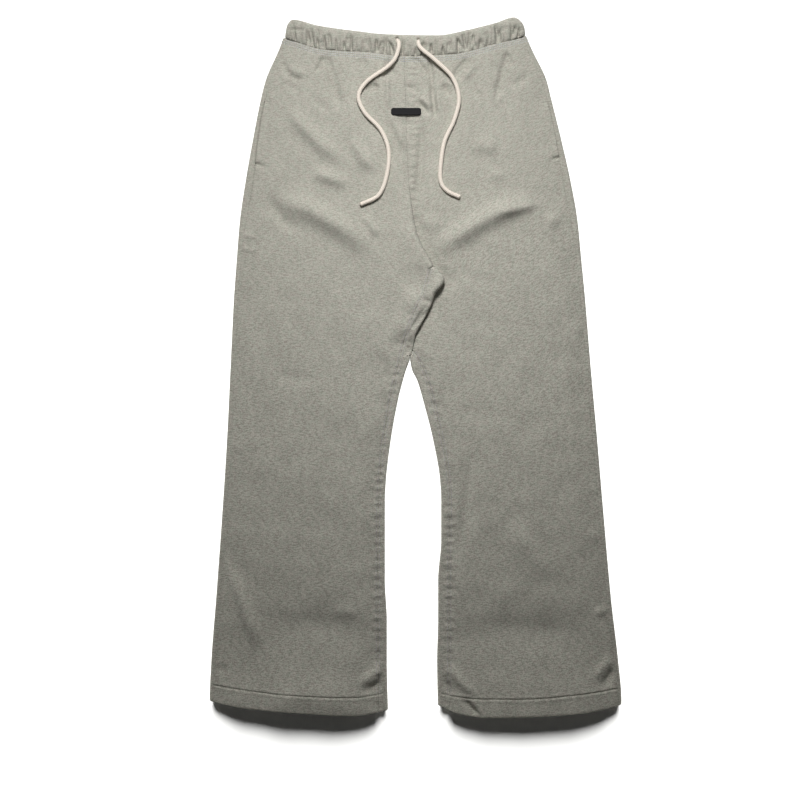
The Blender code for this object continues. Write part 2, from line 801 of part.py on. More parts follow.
def cut_eyelet(band, points, material, cutters):
    """Opens the casing round the first stretch of a drawcord end."""
    first = Vector(points[0])
    back = (first - Vector(points[1])).normalized() * EYELET_CLEARANCE
    route = [first + back] + [Vector(point) for point in points[1:EYELET_POINTS]]
    tube = make_tube("eyelet_guide", route, CORD_DIAMETER + 2 * EYELET_CLEARANCE, material, cutters)
    graph = bpy.context.evaluated_depsgraph_get()
    mesh = bpy.data.meshes.new_from_object(tube.evaluated_get(graph))
    bpy.data.objects.remove(tube, do_unlink=True)
    body = bmesh.new()
    body.from_mesh(mesh)
    bmesh.ops.remove_doubles(body, verts=body.verts, dist=MERGE_DISTANCE)
    body.to_mesh(mesh)
    body.free()
    cutter = bpy.data.objects.new("eyelet_cutter", mesh)
    cutter.hide_render = True
    cutter.display_type = "WIRE"
    cutters.objects.link(cutter)
    cut = band.modifiers.new("eyelet", "BOOLEAN")
    cut.operation = "DIFFERENCE"
    cut.object = cutter


def make_label(material, collection):
    """Flat bar with rounded corners, laid over the centre seam."""
    curve = bpy.data.curves.new("label_bar", "CURVE")
    curve.dimensions = "2D"
    curve.fill_mode = "BOTH"
    curve.extrude = LABEL_THICKNESS / 2 * MM
    spline = curve.splines.new("POLY")
    corners = []
    for sx, sy, start in ((1, 1, 0), (-1, 1, 90), (-1, -1, 180), (1, -1, 270)):
        middle_x = sx * (LABEL_LENGTH / 2 - LABEL_CORNER)
        middle_y = sy * (LABEL_WIDTH / 2 - LABEL_CORNER)
        for turn in (0, 30, 60, 90):
            angle = math.radians(start + turn)
            x = middle_x + LABEL_CORNER * math.cos(angle)
            y = middle_y + LABEL_CORNER * math.sin(angle)
            corners.append((x * MM, y * MM, 0.0, 1.0))
    spline.points.add(len(corners) - 1)
    for knot, corner in zip(spline.points, corners):
        knot.co = corner
    spline.use_cyclic_u = True
    curve.materials.append(material)
    obj = bpy.data.objects.new("label_bar", curve)
    xs = [LABEL_PLACE.x + i * LABEL_LENGTH / 2 for i in (-1, 0, 1)]
    ys = [LABEL_PLACE.y + i * LABEL_WIDTH / 2 for i in (-1, 0, 1)]
    seat = max(laid_height(x, y) for x in xs for y in ys) + SEAM_GAP + LABEL_THICKNESS / 2
    obj.location = Vector((LABEL_PLACE.x, LABEL_PLACE.y, seat)) * MM
    collection.objects.link(obj)
    return obj


def pocket_grids(outer):
    """The panel's own points along the pocket mouth, moved out by the seam gap and the turned edge."""
    rows = [r for r in range(len(ROWS)) if POCKET_FOOT_Y <= outer[r][-1][1] <= POCKET_TOP_Y]
    lower = [[Vector(outer[r][c]) + Vector((0, 0, SEAM_GAP)) for c in (-2, -1)] for r in rows]
    upper = [[point + Vector((0, 0, POCKET_EDGE_WALL)) for point in row] for row in lower]
    return upper, lower


def main():
    clear_scene()
    garment = bpy.data.collections.new("flared_sweatpants")
    cutters = bpy.data.collections.new("cutters")
    for collection in (garment, cutters):
        bpy.context.scene.collection.children.link(collection)
    fleece = matt_material("heather_fleece", FLEECE_COLOUR, 0.95)
    rubber = matt_material("matt_rubber", RUBBER_COLOUR, 0.55)
    cotton = matt_material("braided_cotton", COTTON_COLOUR, 0.9)

    def fleece_piece(name, grids):
        return wall_between(name, *grids, fleece, garment)

    left_grids = front_grids(left_front_edge, outer_left, -1, left_height)
    right_grids = front_grids(right_front_edge, outer_right, 1, right_height)
    fleece_piece("front_left", left_grids)
    fleece_piece("front_right", right_grids)
    fleece_piece(
        "back_left",
        back_grids(
            side=-1,
            outer_edge=outer_left,
            inner_edge=inner_left,
            inseam=left_inseam,
            height=left_height,
            overlap_top=OVERLAP_TOP_Y - OVERLAP_BLEND_Y,
            overlap_start=overlap_edge,
        ),
    )
    fleece_piece(
        "back_right",
        back_grids(
            side=1,
            outer_edge=outer_right,
            inner_edge=inner_right,
            inseam=right_inseam,
            height=right_height,
            overlap_top=RIGHT_INSEAM_TOP_Y,
            overlap_start=lambda y: overlap_edge(y) + 2 * SEAM_GAP,
        ),
    )
    fleece_piece("pocket_edge_left", pocket_grids(left_grids[0]))
    fleece_piece("pocket_edge_right", pocket_grids(right_grids[0]))
    waistband = make_waistband(fleece, garment)
    for name, route in (("drawcord_left", LEFT_ROUTE), ("drawcord_right", RIGHT_ROUTE)):
        points = cord_points(route)
        make_tube(name, points, CORD_DIAMETER, cotton, garment)
        cut_eyelet(waistband, points, fleece, cutters)
    make_label(rubber, garment)


main()
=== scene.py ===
import math
from collections import namedtuple

import bpy
import numpy as np
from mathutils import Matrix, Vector


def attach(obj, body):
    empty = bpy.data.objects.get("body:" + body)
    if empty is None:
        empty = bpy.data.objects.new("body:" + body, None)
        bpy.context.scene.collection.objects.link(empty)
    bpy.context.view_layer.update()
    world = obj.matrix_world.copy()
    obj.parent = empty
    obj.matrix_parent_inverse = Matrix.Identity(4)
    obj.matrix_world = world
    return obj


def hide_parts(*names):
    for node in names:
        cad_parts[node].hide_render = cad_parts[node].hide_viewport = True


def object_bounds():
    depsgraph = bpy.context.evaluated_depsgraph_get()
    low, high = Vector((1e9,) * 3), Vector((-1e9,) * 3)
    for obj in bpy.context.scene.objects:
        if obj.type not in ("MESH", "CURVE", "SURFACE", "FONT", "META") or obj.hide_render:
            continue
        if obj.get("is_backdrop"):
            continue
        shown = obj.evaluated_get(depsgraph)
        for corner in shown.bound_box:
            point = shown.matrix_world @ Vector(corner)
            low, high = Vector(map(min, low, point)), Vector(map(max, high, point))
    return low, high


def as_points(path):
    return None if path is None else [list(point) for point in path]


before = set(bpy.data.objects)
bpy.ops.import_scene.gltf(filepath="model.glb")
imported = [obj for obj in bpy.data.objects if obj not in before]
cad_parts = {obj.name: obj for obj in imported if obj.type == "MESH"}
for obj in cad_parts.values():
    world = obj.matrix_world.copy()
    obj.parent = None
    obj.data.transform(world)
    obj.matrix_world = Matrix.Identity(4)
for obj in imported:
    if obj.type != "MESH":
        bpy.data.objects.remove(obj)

cad_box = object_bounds()

# ---------------------------------------------------------------------------------------------
# Camera, table and studio light
# The garment lies on a white table, seen from straight above through a long lens. A soft box beyond the waist
# lights it and leaves the legs darker towards the hems, and a low board and a large box overhead fill in. The
# table has a lamp of its own, whose shadow reaches out below the hems.
MM = 0.001
VIEW_MIDDLE = Vector((-0.0239, -0.0508, 0.0))
VIEW_WIDTH = 1.232
LENS = 85
SENSOR = 36
FAR_CLIP = 100
TABLE_REACH = 30.0
TABLE_DROP = 0.0002        # keeps the table's face clear of the cloth's
TABLE_WHITE = "#F4F4F2"
LAMP_WHITE = "#FFFFFF"
SOFT_BOX_SPREAD = 110      # degrees that the soft box's grid lets through
AIR_LIGHT = 0.04           # dim light from all round, while the camera sees plain white


def linear(shade):
    """An sRGB hex colour as linear values, opaque."""
    parts = (int(shade[i:i + 2], 16) / 255 for i in (1, 3, 5))
    return [part / 12.92 if part <= 0.04045 else ((part + 0.055) / 1.055) ** 2.4 for part in parts] + [1]


def add_node(tree, kind, sockets=(), **settings):
    """A node with its settings. Sockets are pairs of an input and a value, a node or a node's output."""
    made = tree.nodes.new(kind)
    for name, value in settings.items():
        setattr(made, name, value)
    for name, value in sockets:
        if isinstance(value, bpy.types.Node):
            value = value.outputs[0]
        if isinstance(value, bpy.types.NodeSocket):
            tree.links.new(value, made.inputs[name])
        else:
            made.inputs[name].default_value = value
    return made


def new_finish(name, shade, roughness):
    """A material with its tree and its shader."""
    material = bpy.data.materials.new(name)
    material.use_nodes = True
    shader = material.node_tree.nodes["Principled BSDF"]
    shader.inputs["Base Color"].default_value = linear(shade)
    shader.inputs["Roughness"].default_value = roughness
    return material, material.node_tree, shader


def add_relief(tree, shader, height, depth, strength):
    """Fine relief on a finish, as deep as given in metres."""
    raised = add_node(tree, "ShaderNodeBump", (
        ("Height", height), ("Distance", depth), ("Strength", strength),
    ))
    tree.links.new(raised.outputs[0], shader.inputs["Normal"])


def put_in_scene(name, data):
    made = bpy.data.objects.new(name, data)
    bpy.context.scene.collection.objects.link(made)
    return made


camera = put_in_scene("camera", bpy.data.cameras.new("camera"))
camera.data.lens = LENS
camera.data.sensor_width = SENSOR
camera.data.clip_end = FAR_CLIP
camera.location = VIEW_MIDDLE + Vector((0, 0, VIEW_WIDTH * LENS / SENSOR))
bpy.context.scene.camera = camera
bpy.context.scene.view_settings.view_transform = "Standard"

table_mesh = bpy.data.meshes.new("table")
corners = [(x * TABLE_REACH, y * TABLE_REACH, -TABLE_DROP) for x, y in ((-1, -1), (1, -1), (1, 1), (-1, 1))]
table_mesh.from_pydata(corners, [], [(0, 1, 2, 3)])
table = put_in_scene("table", table_mesh)
# Painted board: an even matt white.
table_finish = new_finish("painted_table_top", TABLE_WHITE, roughness=0.8)[0]
table.data.materials.append(table_finish)
table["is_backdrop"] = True


def add_lamp(name, kind, place, aim, power, on_table=False, **settings):
    """A lamp that lights the table alone, or everything but the table."""
    lamp = put_in_scene(name, bpy.data.lights.new(name, kind))
    lamp.data.energy = power
    lamp.data.color = linear(LAMP_WHITE)[:3]
    for setting, value in settings.items():
        setattr(lamp.data, setting, value)
    lamp.location = place
    lamp.rotation_euler = (Vector(aim) - Vector(place)).to_track_quat("-Z", "Y").to_euler()
    group = bpy.data.collections.new(name + "_lights")
    group.objects.link(table)
    group.collection_objects[0].light_linking.link_state = "INCLUDE" if on_table else "EXCLUDE"
    lamp.light_linking.receiver_collection = group
    return lamp


# Places and aims are in metres.
add_lamp(
    "soft_box", "AREA", place=(-0.04, 0.85, 0.9), aim=(0.02, 0, 0), power=5.4,
    shape="DISK", size=0.3, spread=math.radians(SOFT_BOX_SPREAD),
)
add_lamp(
    "side_board", "AREA", place=(-1.25, 0.05, 0.3), aim=(0, 0.05, 0), power=1.5,
    shape="RECTANGLE", size=1.2, size_y=0.3,
)
add_lamp(
    "overhead_box", "AREA", place=(0, 0.3, 2.2), aim=(0, 0.3, 0), power=4.6,
    shape="SQUARE", size=2.4,
)
table_lamp = add_lamp(
    "table_lamp", "SUN", place=(0, 1.62, 1.0), aim=(0, 0, 0), power=9,
    on_table=True, angle=0.5,
)
world = bpy.data.worlds.new("studio")
bpy.context.scene.world = world
world.use_nodes = True
air = world.node_tree
seen = add_node(air, "ShaderNodeLightPath")
dim = air.nodes["Background"]
dim.inputs["Color"].default_value = linear(TABLE_WHITE)
dim.inputs["Strength"].default_value = AIR_LIGHT
pale = add_node(air, "ShaderNodeBackground", (("Color", (1, 1, 1, 1)), ("Strength", 1.0)))
both = add_node(air, "ShaderNodeMixShader", ((0, seen.outputs["Is Camera Ray"]), (1, dim), (2, pale)))
air.links.new(both.outputs[0], air.nodes["World Output"].inputs["Surface"])

# ---------------------------------------------------------------------------------------------
# Drawcord ends
# Round cord braided from undyed cotton, 6.5 mm thick and limp. Both ends come out of small holes in
# the waistband, lie loosely on the front and are cut bare.
CORD_DIAMETER = 6.5
CORD_END_ROUND = 1.8
CORD_RING_STEP = 0.9
CORD_SIDES = 28
STRANDS = 4                # that run each way round
STRAND_LIFT = 0.16         # relief of the braid
STRAND_LAY = 4.6           # length along the cord between crossings of the same strands
STRAND_RELIEF = 0.00012    # relief of the strands' fibres, in metres
FUZZ_SCALE = 1400.0        # loose fibres, in spots to the metre
FUZZ_SHARE = 1.6
# The braid's relief also sets the colour: painted shade in the gaps, painted light on the crowns.
STRAND_SHADE_SPAN = (-0.4, 1.6)  # relief from the darkest gap to the lightest crown
CURVE_STEPS = 40           # between two places of a route
CORD_BLUNTNESS = 0.98      # 1 would bring the rounded ends to a point
# Painted light on the strands' crowns, then painted shade in the gaps between them.
CORD_CROWN_LIGHT = "#EAE1D5"
CORD_GAP_SHADE = "#CDC1B3"
# Routes from eyelet to cut end, as x, y and the height of the cord's middle in millimetres.
LEFT_ROUTE = (
    (-28.5, 502.5, 12.5), (-25.5, 492, 17.8), (-31, 473, 18), (-44, 459, 15.7), (-75, 437, 14.4),
    (-87.5, 415, 13.8), (-78, 390, 13.8), (-53.5, 363.5, 13.8), (-41.5, 332, 13.8), (-44, 295, 13.8),
    (-56.5, 263.5, 13.8), (-85, 248.5, 13.8),
)
RIGHT_ROUTE = (
    (3.9, 500.5, 12.6), (7.5, 488.5, 18.6), (31, 468.5, 19.2), (56.5, 443, 16.8), (66.5, 411.5, 15.2),
    (59.5, 379, 13.8), (44, 344, 13.8), (38, 302.5, 13.8), (39.5, 282, 13.8), (49, 269.5, 13.8),
    (68.5, 260, 13.8),
)


def smooth_route(route, step):
    """Evenly spaced points along a smooth curve through a route."""
    points = np.array(route, float)
    points = np.concatenate([[2 * points[0] - points[1]], points, [2 * points[-1] - points[-2]]])
    fine = []
    for p0, p1, p2, p3 in zip(points, points[1:], points[2:], points[3:]):
        for t in np.linspace(0, 1, CURVE_STEPS, endpoint=False):
            bend = 2 * p0 - 5 * p1 + 4 * p2 - p3
            twist = 3 * (p1 - p2) + p3 - p0
            fine.append(0.5 * (2 * p1 + (p2 - p0) * t + bend * t**2 + twist * t**3))
    fine = np.array([*fine, points[-2]])
    run = np.concatenate([[0], np.cumsum(np.linalg.norm(np.diff(fine, axis=0), axis=1))])
    places = np.linspace(0, run[-1], round(run[-1] / step) + 1)
    return places, np.stack([np.interp(places, run, fine[:, i]) for i in range(3)], axis=1)


def mesh_from(name, points, faces, uv=None):
    """A smooth mesh from points in millimetres, with a map of the cloth in metres."""
    mesh = bpy.data.meshes.new(name)
    mesh.vertices.add(len(points))
    mesh.vertices.foreach_set("co", (np.asarray(points, float) * MM).ravel())
    faces = [np.asarray(group) for group in faces if len(group)]
    sizes = np.concatenate([np.full(len(group), group.shape[1]) for group in faces])
    loops = np.concatenate([group.ravel() for group in faces])
    mesh.loops.add(len(loops))
    mesh.loops.foreach_set("vertex_index", loops)
    mesh.polygons.add(len(sizes))
    mesh.polygons.foreach_set("loop_start", np.concatenate([[0], np.cumsum(sizes)[:-1]]))
    if uv is not None:
        layer = mesh.uv_layers.new(name="cloth")
        layer.data.foreach_set("uv", (np.asarray(uv, float) * MM)[loops].ravel())
    mesh.update(calc_edges=True)
    mesh.validate()
    mesh.shade_smooth()
    return mesh


def ring_faces(rings, around):
    """Numbers of the points in rings, and the faces between the rings."""
    number = np.arange(rings * around).reshape(rings, around)
    beyond = np.roll(number, -1, axis=1)
    return number, np.stack([number[:-1], beyond[:-1], beyond[1:], number[1:]], axis=-1).reshape(-1, 4)


# Braided cotton: soft matt strands with the relief of their braid and a little loose fuzz. The colour follows
# the same relief: painted shade darkens the gaps between the strands and painted light brightens their
# crowns.
cotton, tree, shader = new_finish("braided_cotton", CORD_CROWN_LIGHT, roughness=0.9)
place = add_node(tree, "ShaderNodeUVMap", uv_map="cloth")
lays = 1 / (STRAND_LAY * MM)
strands = add_node(tree, "ShaderNodeMapping", (("Vector", place), ("Scale", (lays, lays, 1))))
split = add_node(tree, "ShaderNodeSeparateXYZ", (("Vector", strands),))
waves = []
for way in ("ADD", "SUBTRACT"):
    slant = add_node(tree, "ShaderNodeMath", ((0, split), (1, split.outputs[1])), operation=way)
    turned = add_node(tree, "ShaderNodeMath", ((0, slant), (1, math.tau)), operation="MULTIPLY")
    waves.append(add_node(tree, "ShaderNodeMath", ((0, turned),), operation="SINE"))
crossed = add_node(tree, "ShaderNodeMath", ((0, waves[0]), (1, waves[1])), operation="MULTIPLY")
fuzz = add_node(tree, "ShaderNodeTexNoise", (("Vector", place), ("Scale", FUZZ_SCALE), ("Detail", 3.0)))
fluffy = add_node(tree, "ShaderNodeMath", (
    (0, fuzz), (1, FUZZ_SHARE), (2, crossed),
), operation="MULTIPLY_ADD")
span = zip(("From Min", "From Max"), STRAND_SHADE_SPAN)
depth = add_node(tree, "ShaderNodeMapRange", (("Value", fluffy), *span))
# Painted shade and painted light: the relief darkens the braid's gaps and lightens its crowns, with random
# fuzz on top.
colour_mix = add_node(tree, "ShaderNodeMix", (
    (0, depth), (6, linear(CORD_GAP_SHADE)), (7, linear(CORD_CROWN_LIGHT)),
), data_type="RGBA")
tree.links.new(colour_mix.outputs[2], shader.inputs["Base Color"])
add_relief(tree, shader, fluffy, STRAND_RELIEF, strength=0.7)
shader.inputs["Sheen Weight"].default_value = 0.2


def make_cord(name, route):
    """A tube with a braided surface and rounded ends."""
    run, middle = smooth_route(route, CORD_RING_STEP)
    ahead = np.gradient(middle, axis=0)
    ahead /= np.linalg.norm(ahead, axis=1)[:, None]
    beside = np.cross(ahead, (0, 0, 1))
    beside /= np.linalg.norm(beside, axis=1)[:, None]
    upward = np.cross(beside, ahead)
    from_end = np.minimum(run, run[-1] - run)
    shrink = np.sqrt(1 - np.clip(1 - from_end / CORD_END_ROUND, 0, CORD_BLUNTNESS) ** 2)
    turn = np.linspace(0, math.tau, CORD_SIDES + 1)
    lay = math.tau * run[:, None] / STRAND_LAY
    strands = np.sin(turn * STRANDS + lay) * np.sin(turn * STRANDS - lay)
    reach = (CORD_DIAMETER / 2 - STRAND_LIFT + STRAND_LIFT * strands) * shrink[:, None]
    outward = np.cos(turn)[:, None] * beside[:, None] + np.sin(turn)[:, None] * upward[:, None]
    rings = (middle[:, None] + reach[..., None] * outward)[:, :-1]
    number, sides = ring_faces(len(rings), CORD_SIDES)
    uv = np.stack(np.broadcast_arrays(run[:, None], turn[:-1] * CORD_DIAMETER / 2), axis=-1).reshape(-1, 2)
    caps = np.stack([number[0][::-1], number[-1]])
    mesh = mesh_from(name, rings.reshape(-1, 3), [sides, caps], uv)
    mesh.materials.append(cotton)
    cord = put_in_scene(name, mesh)
    path = middle * MM
    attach(cord, "root")
    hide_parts(name.replace("_braid", ""))
    tuple(path[0])
    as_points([tuple(point) for point in path[::4]] + [tuple(path[-1])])


make_cord("drawcord_left_braid", LEFT_ROUTE)
make_cord("drawcord_right_braid", RIGHT_ROUTE)

# ---------------------------------------------------------------------------------------------
# Front leg panels
# Two panels of heavy brushed fleece in heathered grey-green, sewn to each other along the centre
# front, to the back panels along side seams and inseams, and turned up 26 mm at the hems.
WALL = 2.4
HEM_WALL = 4.6
SEAM_GAP = 0.12
LAID_HEIGHT = 7.4
BILLOW = 2.5                # air under the front, away from the folded sides
LEG_BILLOW = 1.6            # the legs hold a little more
BILLOW_REACH = 40.0
LEG_BILLOW_ENDS = (300, 120)
HEM_EDGE_HEIGHT = 14.4
HEM_MIDDLE_HEIGHT = 25.5
HEM_RISE_ENDS = (-424.0, -554.0)  # the folded sides rise between these towards the hems
GAPE_ENDS = (-410, -545)          # and the leg mouths open between these
GAPE_SQUARENESS = 2.5             # 2 gives a round mouth, and more a flatter top
LOWEST_FRONT = 5.0
FOLD_MARGIN = (2, 16)             # folds die out between these distances from a folded side
WAIST_Y = 490.0
HEM_STITCH_Y = -504.0
HEM_Y = -530.0
CROTCH_GAP_Y = 11.6
CROTCH_JOIN_Y = 18.0       # up to here the rolled inner sides of both legs touch
OVERLAP_TOP_Y = 154.0
RIGHT_INSEAM_TOP_Y = 25.0
WAIST_ROWS_REACH = 90.0
HEM_ROWS_REACH = 75.0


def through(rows):
    """A smooth line through rows of a place and a value, which doesn't swing past them."""
    at, value = np.array(sorted(rows), float).T
    step = np.diff(at)
    slope = np.diff(value) / step
    lean = np.zeros(len(at))
    lean[0], lean[-1] = slope[0], slope[-1]
    both = slope[:-1] + slope[1:]
    same = slope[:-1] * slope[1:] > 0
    lean[1:-1] = np.where(same, 2 * slope[:-1] * slope[1:] / np.where(same, both, 1), 0)

    def read(where):
        where = np.clip(where, at[0], at[-1])
        i = np.clip(np.searchsorted(at, where, side="right") - 1, 0, len(step) - 1)
        t = (where - at[i]) / step[i]
        ends = (1 + 2 * t) * (1 - t) ** 2 * value[i] + t * t * (3 - 2 * t) * value[i + 1]
        return ends + (t * (1 - t) ** 2 * lean[i] - t * t * (1 - t) * lean[i + 1]) * step[i]

    return read


# Outline, as rows of y and of x on the left and on the right.
OUTER_EDGES = (
    (509, -202, 170), (488, -210, 179), (442, -230, 201), (411, -238, 209), (350, -250, 224),
    (288, -261, 238), (226, -270, 249), (165, -275, 255), (103, -279.5, 261), (11, -284, 268.5),
    (-112, -290, 279.5), (-236, -298, 290), (-359, -307, 301), (-450, -314, 311.5), (-513, -316.5, 316.5),
    (-536, -315, 315),
)
outer_left, outer_right = (through((row[0], row[i]) for row in OUTER_EDGES) for i in (1, 2))
INNER_EDGES = (
    (11.6, -8.5, -8.5), (-4.6, -14.6, -5.4), (-20, -19.2, 2.3), (-51, -27, 11.6), (-112, -38, 27),
    (-174, -45.4, 37.7), (-205, -47, 39.3), (-266, -47, 39.3), (-328, -47, 34.6), (-390, -44, 34.6),
    (-451, -44, 33), (-536, -42, 34.6),
)
inner_left, inner_right = (through((row[0], row[i]) for row in INNER_EDGES) for i in (1, 2))
# Seams and edges that run down the garment, as places of y and x. The first is a distance from the outline.
seam_inset = through((
    (509, 7), (400, 7), (350, 8), (312, 10.5), (270, 12), (200, 9), (120, 7), (-536, 7),
))
centre_seam = through((
    (509, -18), (477, -17.7), (396, -14.6), (334, -13), (288, -10.8), (260, -7.5), (239, -4.3), (206, 2.3),
    (185, 10.9), (167, 21.7), (154, 28.2),
))
left_inseam = through((
    (154, 23.5), (113, 12), (93, 2.3), (49, -14.8), (6, -25.7), (-41, -37), (-92, -46), (-140, -52.5),
    (-222, -57.5), (-345, -58), (-536, -57),
))
right_inseam = through((
    (25, -3.2), (11.6, 4.6), (-7.7, 13.7), (-41, 24), (-88, 35.5), (-128, 44.4), (-163, 50), (-199, 52.7),
    (-297, 51.6), (-536, 51.6),
))
overlap_edge = through((
    (154, 29), (148, 35), (134.5, 44.4), (128, 43), (111, 30), (98, 25.5), (85, 19.6), (61, 6.6), (48, 0.2),
    (29, -4.3), (11.6, -8.5),
))
# Seams and edges that run across, as places of x and y.
waist_seam = through((
    (-202, 505.5), (-140, 488), (-75, 483.5), (-10, 477.5), (55, 480.5), (115, 494), (171, 509),
))
hem_edge = through((
    (-316, -513), (-250, -523), (-190, -528), (-95, -533), (-42, -527), (34, -520), (60, -529), (105, -536),
    (180, -534.5), (250, -530), (316, -519),
))
hem_line = through((
    (-316, -487), (-273, -493.5), (-201, -501.5), (-93, -506), (-62, -503), (-42, -500), (34, -501),
    (60, -505), (105, -508.5), (160, -508.5), (235, -503.5), (316, -493),
))
# Ridges and troughs, as rows of the start's x and y, the end's x and y, bow, width and rise.
MAIN_FOLDS = (
    (-212, 258, -70, 178, 10, 23, 12.5), (184, 258, 34, 178, -8, 21, 11.5),
    (190, 250, 120, 232, 0, 10, 4.2), (-196, 400, -112, 314, -5, 16, 9), (-96, 352, -66, 300, -2, 13, 6.4),
    (-160, 299, -104, 277, 2, 14, 7), (-226, 262, -188, 208, -3, 13, -4.8), (88, 344, 126, 334, 0, 16, 4.6),
    (-196, 462, -168, 447, -2, 10, 3.6), (-137, 478, -126, 440, 0, 7, -6.6),
    (-129, 448, -116, 396, 0, 11, -6.5), (139, 484, 122, 408, 2, 6.5, -6.6), (140, 482, 147, 462, 0, 5, -6),
    (10, 376, 0, 250, 3, 8, -6.6), (-228, -14, -148, -24, 2, 15, -2.4), (-54, 20, -40, -30, 0, 12, -3.3),
    (-38, 40, 4, 30, 0, 22, -6), (-20, 100, 14, 96, 0, 20, 3.6), (-288, -302, -244, -432, 3, 13, 9.6),
    (84, -140, 70, -292, 0, 14, -4.1), (150, -240, 204, -326, 0, 22, 5.1),
    (70, -402, 280, -406, 0, 36, -5.6), (-240, -398, -70, -404, 0, 36, -5.4),
    (304, -446, 272, -482, -3, 10, 4.8), (312, -462, 286, -492, -2, 9, -5.4),
    (-240, -500, -84, -507, 0, 36, 5.2), (-46, -452, -88, -486, 4, 10, 6), (-40, -470, -82, -498, 5, 9, -6),
    (46, -454, 92, -502, -3, 9, 6), (36, -474, 56, -500, 0, 9, -4.8), (74, -508, 96, -534, 0, 7, -6.4),
)
# Small creases between the main ones.
SMALL_FOLDS = (
    (-198, 451, -172, 440, -2, 7, -3.2), (-203, 470, -197, 448, 0, 7, -3.6),
    (-141, 474, -152, 452, 0, 5.5, -6.2), (-146, 474, -136, 470, 0, 5.5, -3.9),
    (-78, 234, -58, 200, 0, 8.8, 5), (-272, 205, -242, 198, 0, 5.5, 1.9),
    (-270, 182, -244, 178, 0, 5.5, 1.7), (-38, 374, 4, 374, 0, 13.2, -2.6),
    (-44, 454, -42, 392, 0, 5.5, 3.9), (-42, 392, -14, 330, 3, 8.8, 5), (2, 411, 20, 388, 0, 5.4, -5),
    (8, 414, 26, 396, 0, 5.5, 3.5), (21, 474, 26, 432, 0, 5, -7), (26, 436, 31, 381, -1, 5.4, -8),
    (20, 430, 25, 386, -1, 6, 1.6), (33, 424, 38, 392, -1, 7, 1.8), (-6, 478, 21, 446, 1, 6, -5.2),
    (-15, 431, 8, 419, 2, 5.5, -2.6), (42, 434, 54, 416, 0, 8.8, -5), (-76, 420, -56, 431, 3, 7.7, -6.2),
    (-52, 446, -40, 452, 0, 7.7, -5), (-84, 474, -76, 458, 0, 8.8, -3), (83, 474, 58, 442, 0, 7.5, -8.4),
    (92, 466, 72, 440, 0, 7, 2.4), (142, 468, 150, 456, 0, 5.5, -2), (78, 446, 97, 412, 1, 9, -3),
    (176, 451, 147, 432, 2, 8, -2.8), (-160, 416, -130, 392, -2, 9, -2.8),
    (-206, 436, -180, 424, 1, 8, -2.4), (112, 420, 136, 408, 0, 10, 2.2), (112, 298, 138, 292, 0, 11, 3),
    (200, 226, 222, 222, 0, 13.2, 3.9), (6, 226, 44, 214, 0, 14, 3), (-250, 313, -230, 307, 0, 3.6, -4),
    (208, 317.5, 224, 323, 0, 3.6, -4), (21, 97, -12, 46, -3, 3.4, -2.6), (20, 88, -6, 56, -2, 3.2, -2.4),
    (16, 84, 0, 62, 0, 3, -2), (11.3, 103.2, 24.7, 98.1, 0, 4, -2.6), (-16, 39, -5, 28.7, 0, 4, 1.6),
    (-44, 474, -34, 444, 0, 9, -4.7), (-124, -372, -88, -378, 0, 13.2, 2.3),
    (-306, -458, -288, -468, 0, 8.8, -2.3), (84, -508, 104, -532, 0, 6.6, 2.3),
    (272, -380, 302, -370, 0, 7.7, 3.2), (270, -190, 288, -188, 0, 6.6, 2.1),
    (262, -254, 286, -262, 0, 9.9, 1.2), (-284, -120, -262, -126, 0, 8.8, 1.2),
    (240, 60, 262, 54, 0, 8.8, 1.2), (-28, 150, -10, 118, 0, 11, -1.4), (60, 160, 110, 120, 0, 15.4, -2.4),
)
FOLD_STARTS = (-0.1, 0.35)    # a fold rises over this part of its length
FOLD_ENDS = (1.1, 0.65)       # and dies out over this one
FOLD_SHARPNESS = 1.4
# How much the inseams pucker, as places of y and a share.
left_puckers = through((
    (140, 0.2), (20, 0.4), (-20, 1.2), (-60, 0.4), (-140, 0.5), (-170, 1.6), (-215, 0.9), (-330, 1.0),
    (-440, 0.8), (-500, 0.4),
))
right_puckers = through((
    (20, 0.5), (-60, 0.9), (-110, 0.4), (-200, 0.5), (-225, 1.4), (-280, 1.2), (-380, 1.1), (-440, 0.8),
    (-500, 0.4),
))
PUCKER_STEP = 13.5
PUCKER_HEIGHT = 1.25
PUCKER_REACH = 8.0
PUCKER_DRIFTS = ((1.4, 93), (0.8, 41))  # how far they drift from an even step, and over what length
SMALL_PUCKERS = (0.4, 0.62)   # height and step of the small ones between, as shares
Gather = namedtuple("Gather", "x depth width up lean below")
CASING_HEIGHT = 30.0
GATHER_SPAN = (-192, 160)
GATHER_GAPS = (5.5, 12.5)     # least and most room between two gathers
GATHER_BELOW = 0.8            # share of a gather's depth that is left below the seam
GATHER_FLARE = 0.8            # a gather widens by this share over its height
GATHER_SHAPE = 1.3            # 2 gives round valleys, and less gives sharper ones
GATHER_FADE = (0.12, -0.2)    # about the height where a gather ends
SEAM_DIP = 0.85
SEAM_DIP_WIDTH = 1.3
MOUTH_TOP = 412
MOUTH_FADES = (-3, 5, 12)     # the slit opens between the first two above its foot, and closes below its top
# The side seam's dip fades in between these above the mouth's foot, on the left and on the right, and fades
# out between these above its top.
SEAM_SHOWS = ((-85, -58), (0, 2))
SEAM_TOP_FADE = (13, -7)
MOUTH_FEET = (311.5, 318.5)   # where the pocket mouths end, on the left and on the right
MOUTH_DEPTHS = (1.6, 0.5)
MOUTH_WIDTH = 1.5
PRESSED_SEAM = 0.12           # share of the seam's dip that shows where the side seam is pressed flat
NEEDLE_STEP = 2.5             # from a seam to the stitch row beside it
NEEDLE_DIP = 0.55
NEEDLE_WIDTH = 0.8
WAIST_ROWS = (2.3, 5.4, 8.5)  # cover-stitch rows below the waist seam
WAIST_ROW_WIDTH = 0.7
HEM_GROOVE = 1.3
HEM_GROOVE_WIDTH = 1.1
HEM_LEDGES = ((0.5, -3.2, 2.2), (0.4, 3.4, 2.4))  # rise, place and width of the swells beside the groove
